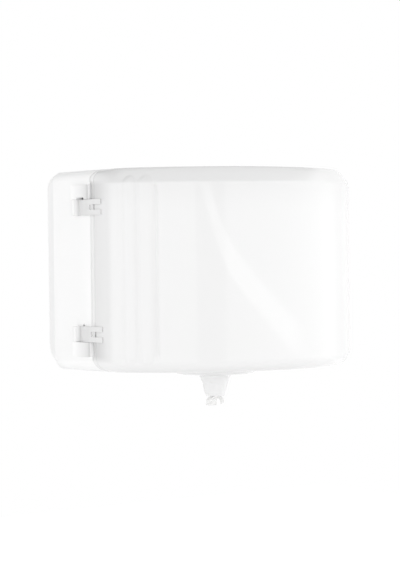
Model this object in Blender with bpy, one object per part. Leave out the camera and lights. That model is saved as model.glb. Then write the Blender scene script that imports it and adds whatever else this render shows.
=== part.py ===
# Centrefeed roll dispenser for a wall: a deep rear casing, a bowed front cover hinged on the left,
# a shelf that carries the roll, and an outlet dish with a tapered nozzle underneath.
# Metres, +X right as seen from the front, -Y towards the front, +Z up.
# The origin is the centre of the flat back face.

import bpy
import bmesh
import math
from mathutils import Matrix, Vector

MM = 0.001
TURN = 2 * math.pi
HEXAGON_SIDES = 6

# Overall form
body_width = 268.0 * MM
body_depth = 213.0 * MM
body_height = 182.0 * MM
wall = 3.0 * MM
bow_rise = 81.5 * MM
bow_corner_radius = 35.0 * MM
rear_corner_radius = 34.0 * MM

# Edge rounding: how far an edge is drawn in, and how tall it is
top_round_in = 9.5 * MM
top_round_tall_front = 13.5 * MM
top_round_tall_rear = 9.0 * MM
top_round_corner_extra = 8.0 * MM
bottom_round_in = 10.5 * MM
bottom_round_tall = 11.0 * MM
bottom_round_rear = 20.0 * MM
bottom_round_corner_extra = 10.0 * MM

# Parting line between casing and cover, seen from the side
cover_side_run = 34.0 * MM
parting_gap = 0.6 * MM
parting_round_top = 10.0 * MM
parting_round_bottom = 16.0 * MM

# Two upright ribs at each front corner of the cover
rib_widths = (12.2 * MM, 14.0 * MM)
rib_valley = 3.3 * MM
rib_height = 1.4 * MM
rib_end_margin = 6.5 * MM
rib_end_length = 9.0 * MM
rib_start_past_corner = 0.6 * MM

# Clearances
clearance = 0.3 * MM
overrun = 8.0 * MM

# Cover floor flange
flange_width = 15.0 * MM

# Roll and its shelf
outlet_setback = 100.7 * MM
roll_rear_room = 9.4 * MM
roll_front_room = 13.6 * MM
roll_lock_room = 2.0 * MM
roll_bore_radius = 30.0 * MM
roll_height = 135.0 * MM
shelf_thickness = 3.0 * MM
shelf_inset_front = 13.5 * MM
shelf_rear_setback = 30.0 * MM
shelf_hole_radius = 35.0 * MM
shelf_screw_from_side = 47.0 * MM
shelf_screw_from_shelf_rear = 12.0 * MM
shelf_screw_behind_parting = 11.5 * MM

# Outlet dish
dish_radius = 42.0 * MM
dish_drop = 7.4 * MM
dish_floor_radius = 32.5 * MM
dish_wall = 2.5 * MM
dish_rim_width = 6.0 * MM
dish_screw_count = 3
dish_passage_gap = 2.0 * MM

# Nozzle and its ring nut
nozzle_neck_radius = 12.4 * MM
nozzle_flange_radius = 14.6 * MM
nozzle_flange_height = 2.4 * MM
nozzle_shoulder_radius = 11.9 * MM
nozzle_shoulder_drop = 8.6 * MM
nozzle_tip_radius = 8.8 * MM
nozzle_length = 20.6 * MM
nozzle_bore_top_radius = 9.6 * MM
nozzle_bore_tip_radius = 5.6 * MM
nozzle_waist_drop_share = 0.62
nozzle_waist_narrowing_share = 0.48
nozzle_neck_above_nut = 1.5 * MM
ring_nut_height = 4.0 * MM
ring_nut_across_flats = 33.0 * MM

# Paper tail
tail_radius = 5.1 * MM
tail_hang = 8.7 * MM
tail_wall_radius = 3.2 * MM
tail_rise = 52.0 * MM
tail_turns = 1.5
tail_lobes = 4
tail_valley_share = 0.78

# Hinge clips, pins and pivot bosses on the left side
clip_height = 14.1 * MM
clip_centre_from_end = 33.85 * MM
clip_plate_thickness = 2.5 * MM
clip_plate_length = 31.5 * MM
clip_finger_length = 20.0 * MM
clip_finger_width = 4.7 * MM
clip_neck_thickness = 1.3 * MM
clip_groove_length = 2.9 * MM
knuckle_radius = 3.3 * MM
pin_radius = 1.25 * MM
pivot_behind_parting = 22.2 * MM
boss_height = 13.3 * MM
boss_proud = 6.6 * MM
boss_rear_run = 14.0 * MM
boss_front_run = 18.0 * MM
pin_grip = 11.6 * MM

# Lock in the right side of the cover
lock_ahead_of_parting = 16.5 * MM
lock_flange_radius = 9.0 * MM
lock_flange_thickness = 1.5 * MM
lock_body_radius = 7.0 * MM
lock_body_length = 16.3 * MM
lock_barrel_radius = 5.0 * MM
lock_neck_radius = 3.2 * MM
lock_neck_length = 3.1 * MM
lock_nut_across_flats = 17.0 * MM
lock_nut_thickness = 3.5 * MM
cam_length = 15.0 * MM
cam_width = 8.0 * MM
cam_thickness = 2.3 * MM
key_slot_length = 6.4 * MM
key_slot_width = 1.6 * MM
key_slot_depth = 5.0 * MM
keeper_thickness = 3.0 * MM
keeper_drop = 6.0 * MM
keeper_run = 38.0 * MM
keeper_swing_room = 4.5 * MM
keeper_inner_reach = 18.5 * MM
cam_room = 1.4 * MM

# Fasteners
screw_radius = 1.6 * MM
screw_head_radius = 3.0 * MM
screw_head_height = 1.5 * MM
shelf_screw_length = 4.6 * MM
dish_screw_length = 6.0 * MM
cam_screw_length = 8.0 * MM
wall_hole_radius = 2.75 * MM
wall_hole_from_side = 64.0 * MM
wall_hole_from_end = 43.0 * MM

# Counts of segments
corner_steps = 4
rear_corner_steps = 6
side_steps = 3
bow_steps = 9
rib_steps = 4
round_steps = 4
turned_steps = 32
small_turned_steps = 20
tail_steps = 14
smooth_angle = math.radians(32)

# Places that follow from the sizes above
half_width = body_width / 2
half_height = body_height / 2
bow_radius = (half_width ** 2 + bow_rise ** 2) / (2 * bow_rise)
bow_centre_y = -body_depth + bow_radius
corner_centre_x = half_width - bow_corner_radius
corner_centre_y = bow_centre_y - math.sqrt((bow_radius - bow_corner_radius) ** 2 - corner_centre_x ** 2)
corner_sweep = math.atan2(bow_centre_y - corner_centre_y, corner_centre_x)
parting_depth = body_depth - bow_rise - cover_side_run
lock_setback = parting_depth + lock_ahead_of_parting
lock_inner_end_x = half_width - lock_body_length - lock_neck_length - screw_head_height
roll_radius = min(
    outlet_setback - wall - roll_rear_room,
    body_depth - wall - roll_front_room - outlet_setback,
    lock_inner_end_x - roll_lock_room)
clip_centre_height = half_height - clip_centre_from_end
shelf_bottom = -half_height + wall + clearance
shelf_top = shelf_bottom + shelf_thickness
dish_top = shelf_bottom - clearance
dish_bottom = -half_height - dish_drop
dish_floor = dish_bottom + dish_wall
nozzle_neck_top = dish_floor + clearance + ring_nut_height + nozzle_neck_above_nut
outlet_centre = Vector((0.0, -outlet_setback, 0.0))
pivot_x = -half_width - knuckle_radius - clearance
pivot_y = -parting_depth + pivot_behind_parting
side_inner_x = half_width - wall


def clear_scene():
    for item in list(bpy.data.objects):
        bpy.data.objects.remove(item, do_unlink=True)


def make_material(name, colour, roughness, metallic=0.0):
    material = bpy.data.materials.new(name)
    material.use_nodes = True
    shader = material.node_tree.nodes["Principled BSDF"]
    shader.inputs["Base Color"].default_value = (*colour, 1.0)
    shader.inputs["Roughness"].default_value = roughness
    shader.inputs["Metallic"].default_value = metallic
    return material


def body_object(name, mesh_edit, material, smooth=True):
    """Turns an edited mesh into a named object with its faces outward."""
    bmesh.ops.recalc_face_normals(mesh_edit, faces=mesh_edit.faces)
    mesh = bpy.data.meshes.new(name)
    mesh_edit.to_mesh(mesh)
    mesh_edit.free()
    mesh.materials.append(material)
    if smooth:
        mesh.shade_smooth()
        mesh.set_sharp_from_angle(angle=smooth_angle)
    item = bpy.data.objects.new(name, mesh)
    bpy.context.scene.collection.objects.link(item)
    return item


def make_cutter(name, mesh_edit):
    cutter = body_object(name, mesh_edit, guide_material, smooth=False)
    cutter.hide_render = True
    cutter.display_type = "WIRE"
    return cutter


def boolean(item, other, operation):
    step = item.modifiers.new(other.name, "BOOLEAN")
    step.operation = operation
    step.object = other
    step.solver = "EXACT"


def hang_on(item, pivot):
    """Parents an object to a pivot and leaves it where it is."""
    item.parent = pivot
    item.matrix_parent_inverse = pivot.matrix_world.inverted()


def pivot_empty(name, place):
    pivot = bpy.data.objects.new(name, None)
    pivot.location = place
    bpy.context.scene.collection.objects.link(pivot)
    bpy.context.view_layer.update()
    return pivot


def loft(rings):
    """Closed solid through rings that have the same number of points."""
    edit = bmesh.new()
    loops = [[edit.verts.new(point) for point in ring] for ring in rings]
    for lower, upper in zip(loops, loops[1:]):
        for i in range(len(lower)):
            j = (i + 1) % len(lower)
            edit.faces.new((lower[i], lower[j], upper[j], upper[i]))
    edit.faces.new(loops[0][::-1])
    edit.faces.new(loops[-1])
    return edit


def turned(profile, steps, centre):
    """Ring-shaped solid: a closed (radius, height) profile spun about an upright axis."""
    edit = bmesh.new()
    points = [edit.verts.new((radius, 0.0, height)) for radius, height in profile]
    edges = [edit.edges.new((a, b)) for a, b in zip(points, points[1:] + points[:1])]
    bmesh.ops.spin(
        edit, geom=points + edges, axis=(0, 0, 1), cent=(0, 0, 0), angle=TURN, steps=steps, use_merge=True)
    bmesh.ops.translate(edit, verts=edit.verts, vec=centre)
    return edit


def rod(profile, steps, centre):
    """Solid without a bore: rings of a (radius, height) outline, lofted upwards."""
    rings = []
    for radius, height in profile:
        rings.append([
            (centre[0] + radius * math.cos(TURN * i / steps),
             centre[1] + radius * math.sin(TURN * i / steps),
             centre[2] + height)
            for i in range(steps)])
    return loft(rings)


def lay_along_x(edit, centre):
    """Turns an upright piece about its centre so that its top points to +X."""
    bmesh.ops.rotate(edit, verts=edit.verts, cent=centre, matrix=Matrix.Rotation(TURN / 4, 3, "Y"))
    return edit


def prism(outline, low, high):
    """Extrudes an (x, y) outline upwards."""
    edit = bmesh.new()
    base = edit.faces.new([edit.verts.new((x, y, low)) for x, y in outline])
    grown = bmesh.ops.extrude_face_region(edit, geom=[base])
    top = [v for v in grown["geom"] if isinstance(v, bmesh.types.BMVert)]
    bmesh.ops.translate(edit, verts=top, vec=(0, 0, high - low))
    return edit


def box(low, high):
    corners = ((low[0], low[1]), (high[0], low[1]), (high[0], high[1]), (low[0], high[1]))
    return prism(corners, low[2], high[2])


def circle(radius, steps, centre_x=0.0, centre_y=0.0, start=0.0):
    return [
        (centre_x + radius * math.cos(start + TURN * i / steps),
         centre_y + radius * math.sin(start + TURN * i / steps))
        for i in range(steps)]


def eased(value):
    value = min(1.0, max(0.0, value))
    return value * value * (3 - 2 * value)


def rib_bounds():
    """Start and end of each rib, as lengths along the bow from its corner."""
    bounds = []
    start = rib_start_past_corner
    for width in rib_widths:
        bounds.append((start, start + width))
        start += width + rib_valley
    return bounds


def right_half():
    """Right half of the plan, rear to front: (x, y, normal x, normal y, length along the bow)."""
    points = [(0.0, 0.0, 0.0, 1.0, None)]
    rear_x = half_width - rear_corner_radius
    for i in range(rear_corner_steps + 1):
        angle = TURN / 4 * (1 - i / rear_corner_steps)
        nx, ny = math.cos(angle), math.sin(angle)
        points.append((rear_x + rear_corner_radius * nx, rear_corner_radius * (ny - 1), nx, ny, None))
    side_run = -rear_corner_radius - corner_centre_y
    for i in range(1, side_steps):
        points.append((half_width, -rear_corner_radius - side_run * i / side_steps, 1.0, 0.0, None))
    for i in range(corner_steps + 1):
        angle = -corner_sweep * i / corner_steps
        nx, ny = math.cos(angle), math.sin(angle)
        points.append((
            corner_centre_x + bow_corner_radius * nx, corner_centre_y + bow_corner_radius * ny, nx, ny, None))
    lengths = []
    for start, end in rib_bounds():
        lengths += [start + (end - start) * i / rib_steps for i in range(rib_steps + 1)]
    ribs_end = lengths[-1]
    half_bow = bow_radius * (TURN / 4 - corner_sweep)
    lengths += [ribs_end + (half_bow - ribs_end) * i / bow_steps for i in range(1, bow_steps + 1)]
    for length in lengths:
        angle = -corner_sweep - length / bow_radius
        nx, ny = math.cos(angle), math.sin(angle)
        points.append((bow_radius * nx, bow_centre_y + bow_radius * ny, nx, ny, length))
    return points


def plan_points():
    """Whole plan outline, from the middle of the back round the right side and back."""
    right = right_half()
    left = [(-x, y, -nx, ny, length) for x, y, nx, ny, length in right[1:-1]]
    return right + left[::-1]


def rib_swell(length, height):
    """How far a rib stands out at a length along the bow and a height."""
    if length is None:
        return 0.0
    end = half_height - rib_end_margin
    dome = min(1.0, max(0.0, (end - abs(height)) / rib_end_length))
    dome = math.sqrt(1 - (1 - dome) ** 2)
    for start, stop in rib_bounds():
        if start < length < stop and dome > 0:
            across = (2 * length - start - stop) / (stop - start)
            return rib_height * math.sqrt(1 - across ** 2) * dome
    return 0.0


def edge_rounding(y, ny, top):
    """Inward reach and height of the rounded edge at a place of the plan.

    The rear corners are rounded more: their share is zero on the back and on the sides,
    and one halfway round the corner.
    """
    rear_corner_share = 4 * ny ** 2 * (1 - ny ** 2) if ny > 0 else 0.0
    if top:
        front_share = eased((-y - parting_depth) / bow_corner_radius)
        tall = top_round_tall_rear + (top_round_tall_front - top_round_tall_rear) * front_share
        extra = top_round_corner_extra * rear_corner_share
        return top_round_in + extra, tall + extra
    rear_share = eased(ny)
    reach = bottom_round_in + (bottom_round_rear - bottom_round_in) * rear_share
    tall = bottom_round_tall + (bottom_round_rear - bottom_round_tall) * rear_share
    extra = bottom_round_corner_extra * rear_corner_share
    return reach + extra, tall + extra


def body_form(inset, with_ribs):
    """Solid with the dispenser's whole outer form, drawn in evenly by an inset."""
    rings = []
    levels = []
    for i in range(round_steps + 1):
        levels.append((False, TURN / 4 * (1 - i / round_steps), None))
    levels.append((None, 0.0, -1.0))
    levels.append((None, 0.0, 1.0))
    for i in range(round_steps + 1):
        levels.append((True, TURN / 4 * i / round_steps, None))
    for top, angle, straight in levels:
        ring = []
        for x, y, nx, ny, length in plan_points():
            if straight is not None:
                tall = edge_rounding(y, ny, straight > 0)[1]
                drawn = inset
                height = straight * (half_height - max(rib_end_margin + rib_end_length, tall + clearance))
            else:
                reach, tall = edge_rounding(y, ny, top)
                reach = max(reach - inset, clearance)
                tall = max(tall - inset, clearance)
                drawn = inset + reach * (1 - math.cos(angle))
                height = half_height - inset - tall * (1 - math.sin(angle))
                height = height if top else -height
            swell = rib_swell(length, height) if with_ribs else 0.0
            ring.append((x + nx * (swell - drawn), y + ny * (swell - drawn), height))
        rings.append(ring)
    return loft(rings)


def plan_inset(inset, rear_y):
    """Plan outline drawn in by an inset and cut off straight at a rear y."""
    outline = []
    for x, y, nx, ny, length in plan_points():
        point = (x - nx * inset, y - ny * inset)
        if point[1] < rear_y:
            outline.append(point)
    first = max(range(len(outline)), key=lambda i: outline[i][0])
    widest = outline[first][0]
    return [(widest, rear_y)] + outline + [(-widest, rear_y)]


def parting_profile(extra):
    """Side view (y, z) of the region in front of the parting line, moved back by an extra gap."""
    top_radius = parting_round_top + extra
    low_radius = parting_round_bottom + extra
    top_centre = (-parting_depth - parting_round_top, half_height - parting_round_top)
    low_centre = (-parting_depth - parting_round_bottom, -half_height + parting_round_bottom)
    far = -body_depth - overrun
    points = [(far, -half_height - overrun), (low_centre[0], -half_height - overrun)]
    for i in range(corner_steps * 2 + 1):
        angle = TURN / 4 * (i / (corner_steps * 2) - 1)
        points.append((
            low_centre[0] + low_radius * math.cos(angle), low_centre[1] + low_radius * math.sin(angle)))
    for i in range(corner_steps * 2 + 1):
        angle = TURN / 4 * i / (corner_steps * 2)
        points.append((
            top_centre[0] + top_radius * math.cos(angle), top_centre[1] + top_radius * math.sin(angle)))
    points += [(top_centre[0], half_height + overrun), (far, half_height + overrun)]
    return points


def parting_block(name, extra):
    edit = bmesh.new()
    left = -half_width - overrun
    base = edit.faces.new([edit.verts.new((left, y, z)) for y, z in parting_profile(extra)])
    grown = bmesh.ops.extrude_face_region(edit, geom=[base])
    moved = [v for v in grown["geom"] if isinstance(v, bmesh.types.BMVert)]
    bmesh.ops.translate(edit, verts=moved, vec=(body_width + 2 * overrun, 0, 0))
    return make_cutter(name, edit)


def upright_hole(name, radius, centre, low, high, steps=small_turned_steps):
    return make_cutter(name, prism(circle(radius, steps, centre[0], centre[1]), low, high))


def boss_outline():
    """Plan of a pivot boss on the left side: a long rise behind the pin and a rounder fall before it."""
    steps = corner_steps * 2
    points = []
    for i in range(steps + 1):
        share = i / steps
        points.append((-half_width - boss_proud * eased(share), pivot_y + boss_rear_run * (1 - share)))
    for i in range(1, steps + 1):
        angle = TURN / 4 * i / steps
        points.append((
            -half_width - boss_proud * math.cos(angle), pivot_y - boss_front_run * math.sin(angle)))
    root = -half_width + wall / 2
    return [(root, pivot_y + boss_rear_run)] + points + [(root, pivot_y - boss_front_run)]


def build_rear_casing():
    casing = body_object("rear_casing", body_form(0.0, False), casing_material)
    boolean(casing, parting_block("guide_front_region", parting_gap), "DIFFERENCE")
    boolean(casing, make_cutter("guide_casing_hollow", body_form(wall, False)), "DIFFERENCE")
    for side, label in ((1, "upper"), (-1, "lower")):
        near = side * (clip_centre_height + clip_height / 2 + clearance)
        far = near + side * boss_height
        boss = make_cutter("guide_%s_boss" % label, prism(boss_outline(), min(near, far), max(near, far)))
        boolean(casing, boss, "UNION")
        pin_end = near + side * (pin_grip + clearance)
        bore_low = min(near - side * overrun, pin_end)
        bore_high = max(near - side * overrun, pin_end)
        bore = upright_hole(
            "guide_%s_pin_bore" % label, pin_radius + clearance, (pivot_x, pivot_y), bore_low, bore_high)
        boolean(casing, bore, "DIFFERENCE")
    boolean(casing, make_cutter("guide_keeper_arm", keeper_arm()), "UNION")
    boolean(casing, make_cutter("guide_keeper_tooth", keeper_tooth()), "UNION")
    passage = upright_hole(
        "guide_dish_passage", dish_radius + dish_passage_gap, outlet_centre, -half_height - overrun,
        shelf_bottom, turned_steps)
    boolean(casing, passage, "DIFFERENCE")
    for i, (x, y) in enumerate(shelf_screw_places()):
        hole = upright_hole(
            "guide_shelf_screw_%d" % i, screw_radius + clearance, (x, y), -half_height - overrun,
            shelf_bottom)
        boolean(casing, hole, "DIFFERENCE")
    for i, (x, z) in enumerate(wall_hole_places()):
        hole = prism(circle(wall_hole_radius, small_turned_steps), -wall - overrun, overrun)
        bmesh.ops.rotate(hole, verts=hole.verts, cent=(0, 0, 0), matrix=Matrix.Rotation(-TURN / 4, 3, "X"))
        bmesh.ops.translate(hole, verts=hole.verts, vec=(x, 0, z))
        boolean(casing, make_cutter("guide_wall_hole_%d" % i, hole), "DIFFERENCE")
    return casing


def wall_hole_places():
    x_far = half_width - wall_hole_from_side
    z_far = half_height - wall_hole_from_end
    return [(x, z) for x in (-x_far, x_far) for z in (-z_far, z_far)]


def shelf_screw_places():
    x_far = half_width - shelf_screw_from_side
    rear_y = -shelf_rear_setback - shelf_screw_from_shelf_rear
    front_y = -parting_depth + shelf_screw_behind_parting
    return [(x, y) for x in (-x_far, x_far) for y in (rear_y, front_y)]


def keeper_low():
    """Underside of the keeper arm, just over the sweep of the cam's tip."""
    return math.hypot(cam_length, cam_width / 2) + cam_room / 2


def keeper_tooth_y():
    """Rear face of the keeper tooth, just in front of the raised cam."""
    return -lock_setback - cam_width / 2 - cam_room


def keeper_arm():
    low = keeper_low()
    root_y = keeper_tooth_y() - keeper_thickness + keeper_run
    outline = (
        (side_inner_x - keeper_inner_reach, keeper_tooth_y() - keeper_thickness),
        (side_inner_x - keeper_swing_room, keeper_tooth_y() - keeper_thickness),
        (side_inner_x - keeper_swing_room, -parting_depth + wall),
        (side_inner_x + wall / 2, -parting_depth + wall),
        (side_inner_x + wall / 2, root_y),
        (side_inner_x - keeper_inner_reach, root_y))
    return prism(outline, low, low + keeper_thickness)


def keeper_tooth():
    low = keeper_low()
    return box(
        (side_inner_x - keeper_inner_reach, keeper_tooth_y() - keeper_thickness, low - keeper_drop),
        (side_inner_x - keeper_inner_reach / 2, keeper_tooth_y(), low + keeper_thickness / 2))


def build_front_cover():
    cover = body_object("front_cover", body_form(0.0, True), cover_material)
    boolean(cover, parting_block("guide_cover_region", 0.0), "INTERSECT")
    boolean(cover, make_cutter("guide_cover_hollow", body_form(wall, False)), "DIFFERENCE")
    opening = prism(plan_inset(flange_width, -parting_depth + overrun), -half_height - overrun, shelf_bottom)
    boolean(cover, make_cutter("guide_cover_floor_opening", opening), "DIFFERENCE")
    centre = (half_width, -lock_setback, 0.0)
    hole = lay_along_x(
        rod(((lock_body_radius + clearance, -overrun), (lock_body_radius + clearance, overrun)),
            small_turned_steps, centre), centre)
    boolean(cover, make_cutter("guide_lock_hole", hole), "DIFFERENCE")
    return cover


def knuckle_height(side):
    low = side * clip_centre_height - clip_height / 2
    return low, low + clip_height


def build_hinge_clip(label, side):
    """Fork-shaped clip: a round knuckle on the pin, a groove, and a plate with two fingers."""
    low, high = knuckle_height(side)
    inner = -half_width - clearance
    plate_start = pivot_y - knuckle_radius - clip_groove_length
    plate_end = plate_start - clip_plate_length
    outline = (
        (inner, plate_end),
        (inner, pivot_y),
        (inner - clip_neck_thickness, pivot_y),
        (inner - clip_neck_thickness, plate_start),
        (inner - clip_plate_thickness, plate_start - clip_neck_thickness),
        (inner - clip_plate_thickness, plate_end))
    clip = body_object("%s_hinge_clip" % label, prism(outline, low, high), clip_material)
    barrel = prism(circle(knuckle_radius, small_turned_steps, pivot_x, pivot_y), low, high)
    boolean(clip, make_cutter("guide_%s_knuckle" % label, barrel), "UNION")
    bore = upright_hole(
        "guide_%s_knuckle_bore" % label, pin_radius + clearance, (pivot_x, pivot_y), low - overrun,
        high + overrun)
    boolean(clip, bore, "DIFFERENCE")
    gap = box(
        (inner - clip_plate_thickness - overrun, plate_end - overrun, low + clip_finger_width),
        (inner + overrun, plate_end + clip_finger_length, high - clip_finger_width))
    boolean(clip, make_cutter("guide_%s_fork_gap" % label, gap), "DIFFERENCE")
    return clip


def build_hinge_pin(label, side):
    low, high = knuckle_height(side)
    outer = side * (clip_centre_height + clip_height / 2 + clearance + pin_grip)
    inner = low + clearance if side > 0 else high - clearance
    ends = (min(inner, outer), max(inner, outer))
    profile = ((pin_radius, ends[0]), (pin_radius, ends[1]))
    return body_object(
        "%s_hinge_pin" % label, rod(profile, small_turned_steps, (pivot_x, pivot_y, 0.0)), steel_material)


def build_shelf():
    """Flat shelf that carries the roll, with a hole over the dish and sunk screw seats."""
    outline = plan_inset(shelf_inset_front, -shelf_rear_setback)
    shelf = body_object("roll_shelf", prism(outline, shelf_bottom, shelf_top), casing_material)
    hole = upright_hole(
        "guide_shelf_hole", shelf_hole_radius, outlet_centre, shelf_bottom - overrun, shelf_top + overrun,
        turned_steps)
    boolean(shelf, hole, "DIFFERENCE")
    for i, (x, y) in enumerate(shelf_screw_places() + dish_screw_places()):
        shank = upright_hole(
            "guide_seat_shank_%d" % i, screw_radius + clearance, (x, y), shelf_bottom - overrun,
            shelf_top + overrun)
        seat = upright_hole(
            "guide_seat_head_%d" % i, screw_head_radius + clearance, (x, y),
            shelf_top - screw_head_height - clearance, shelf_top + overrun)
        boolean(shelf, shank, "DIFFERENCE")
        boolean(shelf, seat, "DIFFERENCE")
    return shelf


def dish_screw_places():
    circle_radius = dish_radius - dish_rim_width / 2
    return circle(circle_radius, dish_screw_count, outlet_centre[0], outlet_centre[1], -TURN / 4)


def build_screw(name, place, length):
    x, y = place
    head_low = shelf_top - screw_head_height
    profile = (
        (screw_radius, shelf_top - screw_head_height - length), (screw_radius, head_low),
        (screw_head_radius, head_low), (screw_head_radius, shelf_top))
    return body_object(name, rod(profile, small_turned_steps, (x, y, 0.0)), steel_material)


def build_dish():
    """Shallow turned dish under the shelf, with a thick rim for its screws."""
    rim_inner = dish_radius - dish_rim_width
    profile = (
        (rim_inner, dish_top), (dish_radius, dish_top),
        (dish_radius, -half_height),
        (dish_radius - dish_drop / 4, -half_height - dish_drop / 2),
        (dish_floor_radius + dish_drop / 2, dish_bottom + dish_drop / 8),
        (dish_floor_radius, dish_bottom),
        (nozzle_neck_radius + clearance, dish_bottom),
        (nozzle_neck_radius + clearance, dish_floor),
        (dish_floor_radius - dish_wall / 2, dish_floor),
        (rim_inner, dish_floor + dish_wall))
    dish = body_object("outlet_dish", turned(profile, turned_steps * 2, outlet_centre), cover_material)
    for i, (x, y) in enumerate(dish_screw_places()):
        hole = upright_hole(
            "guide_dish_screw_%d" % i, screw_radius + clearance, (x, y),
            shelf_top - screw_head_height - dish_screw_length - clearance, dish_top + overrun)
        boolean(dish, hole, "DIFFERENCE")
    return dish


def build_nozzle():
    """Tapered nozzle hung in the dish by its flange below and its ring nut above."""
    top = dish_bottom - clearance
    tip = top - nozzle_length
    shoulder_z = top - nozzle_shoulder_drop
    waist_z = shoulder_z + (tip - shoulder_z) * nozzle_waist_drop_share
    waist_radius = (
        nozzle_shoulder_radius + (nozzle_tip_radius - nozzle_shoulder_radius) * nozzle_waist_narrowing_share)
    profile = (
        (nozzle_bore_top_radius, nozzle_neck_top), (nozzle_neck_radius, nozzle_neck_top),
        (nozzle_neck_radius, top), (nozzle_flange_radius, top),
        (nozzle_flange_radius, top - nozzle_flange_height),
        (nozzle_shoulder_radius, shoulder_z),
        (waist_radius, waist_z),
        (nozzle_tip_radius, tip), (nozzle_bore_tip_radius, tip),
        (nozzle_bore_tip_radius, waist_z),
        (nozzle_bore_top_radius, top - nozzle_flange_height))
    return body_object("feed_nozzle", turned(profile, turned_steps, outlet_centre), cover_material)


def build_ring_nut():
    low = dish_floor + clearance
    corner_radius = ring_nut_across_flats / math.sqrt(3)
    hexagon = circle(corner_radius, HEXAGON_SIDES, outlet_centre[0], outlet_centre[1])
    nut = body_object("nozzle_ring_nut", prism(hexagon, low, low + ring_nut_height), casing_material)
    bore = upright_hole(
        "guide_ring_nut_bore", nozzle_neck_radius + clearance, outlet_centre, low - overrun,
        low + ring_nut_height + overrun, turned_steps)
    boolean(nut, bore, "DIFFERENCE")
    return nut


def build_roll():
    """Centre-pull roll standing on the shelf; the paper leaves from its bore."""
    low = shelf_top + clearance
    profile = (
        (roll_bore_radius, low), (roll_radius, low), (roll_radius, low + roll_height),
        (roll_bore_radius, low + roll_height))
    return body_object("paper_roll", turned(profile, turned_steps * 2, outlet_centre), paper_material)


def build_tail():
    """Twisted paper from the wall of the roll's bore down through the nozzle."""
    sides = tail_lobes * 2
    bottom = dish_bottom - clearance - nozzle_length - tail_hang
    straight_top = nozzle_neck_top
    top = shelf_top + tail_rise
    wall_reach = roll_bore_radius - tail_wall_radius - 2 * clearance
    rings = []
    for i in range(tail_steps + 1):
        height = bottom + (top - bottom) * i / tail_steps
        lean = eased((height - straight_top) / (top - straight_top))
        radius = tail_radius + (tail_wall_radius - tail_radius) * lean
        twist = TURN * tail_turns * i / tail_steps
        ring = []
        for k in range(sides):
            lobe = radius if k % 2 == 0 else radius * tail_valley_share
            angle = twist + TURN * k / sides
            ring.append((
                -wall_reach * lean + lobe * math.cos(angle),
                outlet_centre[1] + lobe * math.sin(angle), height))
        rings.append(ring)
    return body_object("paper_tail", loft(rings), paper_material)


def lock_centre():
    return Vector((half_width + clearance, -lock_setback, 0.0))


def build_lock_housing():
    centre = lock_centre()
    bore = lock_barrel_radius + clearance
    profile = (
        (bore, -lock_body_length), (lock_body_radius, -lock_body_length), (lock_body_radius, 0.0),
        (lock_flange_radius, 0.0), (lock_flange_radius, lock_flange_thickness), (bore, lock_flange_thickness))
    edit = lay_along_x(turned(profile, small_turned_steps, centre), centre)
    return body_object("lock_housing", edit, steel_material)


def build_lock_nut():
    centre = Vector((side_inner_x - clearance - lock_nut_thickness, -lock_setback, 0.0))
    corner_radius = lock_nut_across_flats / math.sqrt(3)
    edit = prism(circle(corner_radius, HEXAGON_SIDES, centre[0], centre[1]), 0.0, lock_nut_thickness)
    nut = body_object("lock_nut", lay_along_x(edit, centre), steel_material)
    bore = rod(
        ((lock_body_radius + clearance, -overrun), (lock_body_radius + clearance, overrun)),
        small_turned_steps, centre)
    boolean(nut, make_cutter("guide_lock_nut_bore", lay_along_x(bore, centre)), "DIFFERENCE")
    return nut


def build_lock_barrel():
    centre = lock_centre()
    shoulder = -lock_body_length
    profile = (
        (lock_neck_radius, shoulder - lock_neck_length), (lock_neck_radius, shoulder),
        (lock_barrel_radius, shoulder), (lock_barrel_radius, lock_flange_thickness))
    edit = lay_along_x(rod(profile, small_turned_steps, centre), centre)
    barrel = body_object("lock_barrel", edit, steel_material)
    face = centre[0] + lock_flange_thickness
    slot = box(
        (face - key_slot_depth, -lock_setback - key_slot_length / 2, -key_slot_width / 2),
        (face + overrun, -lock_setback + key_slot_length / 2, key_slot_width / 2))
    boolean(barrel, make_cutter("guide_key_slot", slot), "DIFFERENCE")
    tail = centre[0] + shoulder - lock_neck_length
    bore_centre = Vector((tail, -lock_setback, 0.0))
    bore = rod(
        ((screw_radius + clearance, -overrun), (screw_radius + clearance, cam_screw_length)),
        small_turned_steps, bore_centre)
    boolean(barrel, make_cutter("guide_cam_screw_bore", lay_along_x(bore, bore_centre)), "DIFFERENCE")
    return barrel


def cam_face():
    """Plane of the cam's outer face, just past the housing's end."""
    return lock_centre()[0] - lock_body_length - clearance


def build_cam():
    """Flat cam that points to the rear while the lock is open."""
    outline = []
    steps = corner_steps * 2
    for i in range(steps + 1):
        angle = TURN / 4 + TURN / 2 * i / steps
        outline.append((cam_width / 2 * math.cos(angle), cam_width / 2 * math.sin(angle)))
    outline += [(cam_length, -cam_width / 2), (cam_length, cam_width / 2)]
    edit = bmesh.new()
    inner = cam_face() - cam_thickness
    base = edit.faces.new([
        edit.verts.new((inner, -lock_setback + along, across)) for along, across in outline])
    grown = bmesh.ops.extrude_face_region(edit, geom=[base])
    moved = [v for v in grown["geom"] if isinstance(v, bmesh.types.BMVert)]
    bmesh.ops.translate(edit, verts=moved, vec=(cam_thickness, 0, 0))
    cam = body_object("lock_cam", edit, steel_material)
    centre = Vector((inner, -lock_setback, 0.0))
    bore = rod(
        ((lock_neck_radius + clearance, -overrun), (lock_neck_radius + clearance, overrun)),
        small_turned_steps, centre)
    boolean(cam, make_cutter("guide_cam_bore", lay_along_x(bore, centre)), "DIFFERENCE")
    return cam


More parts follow.
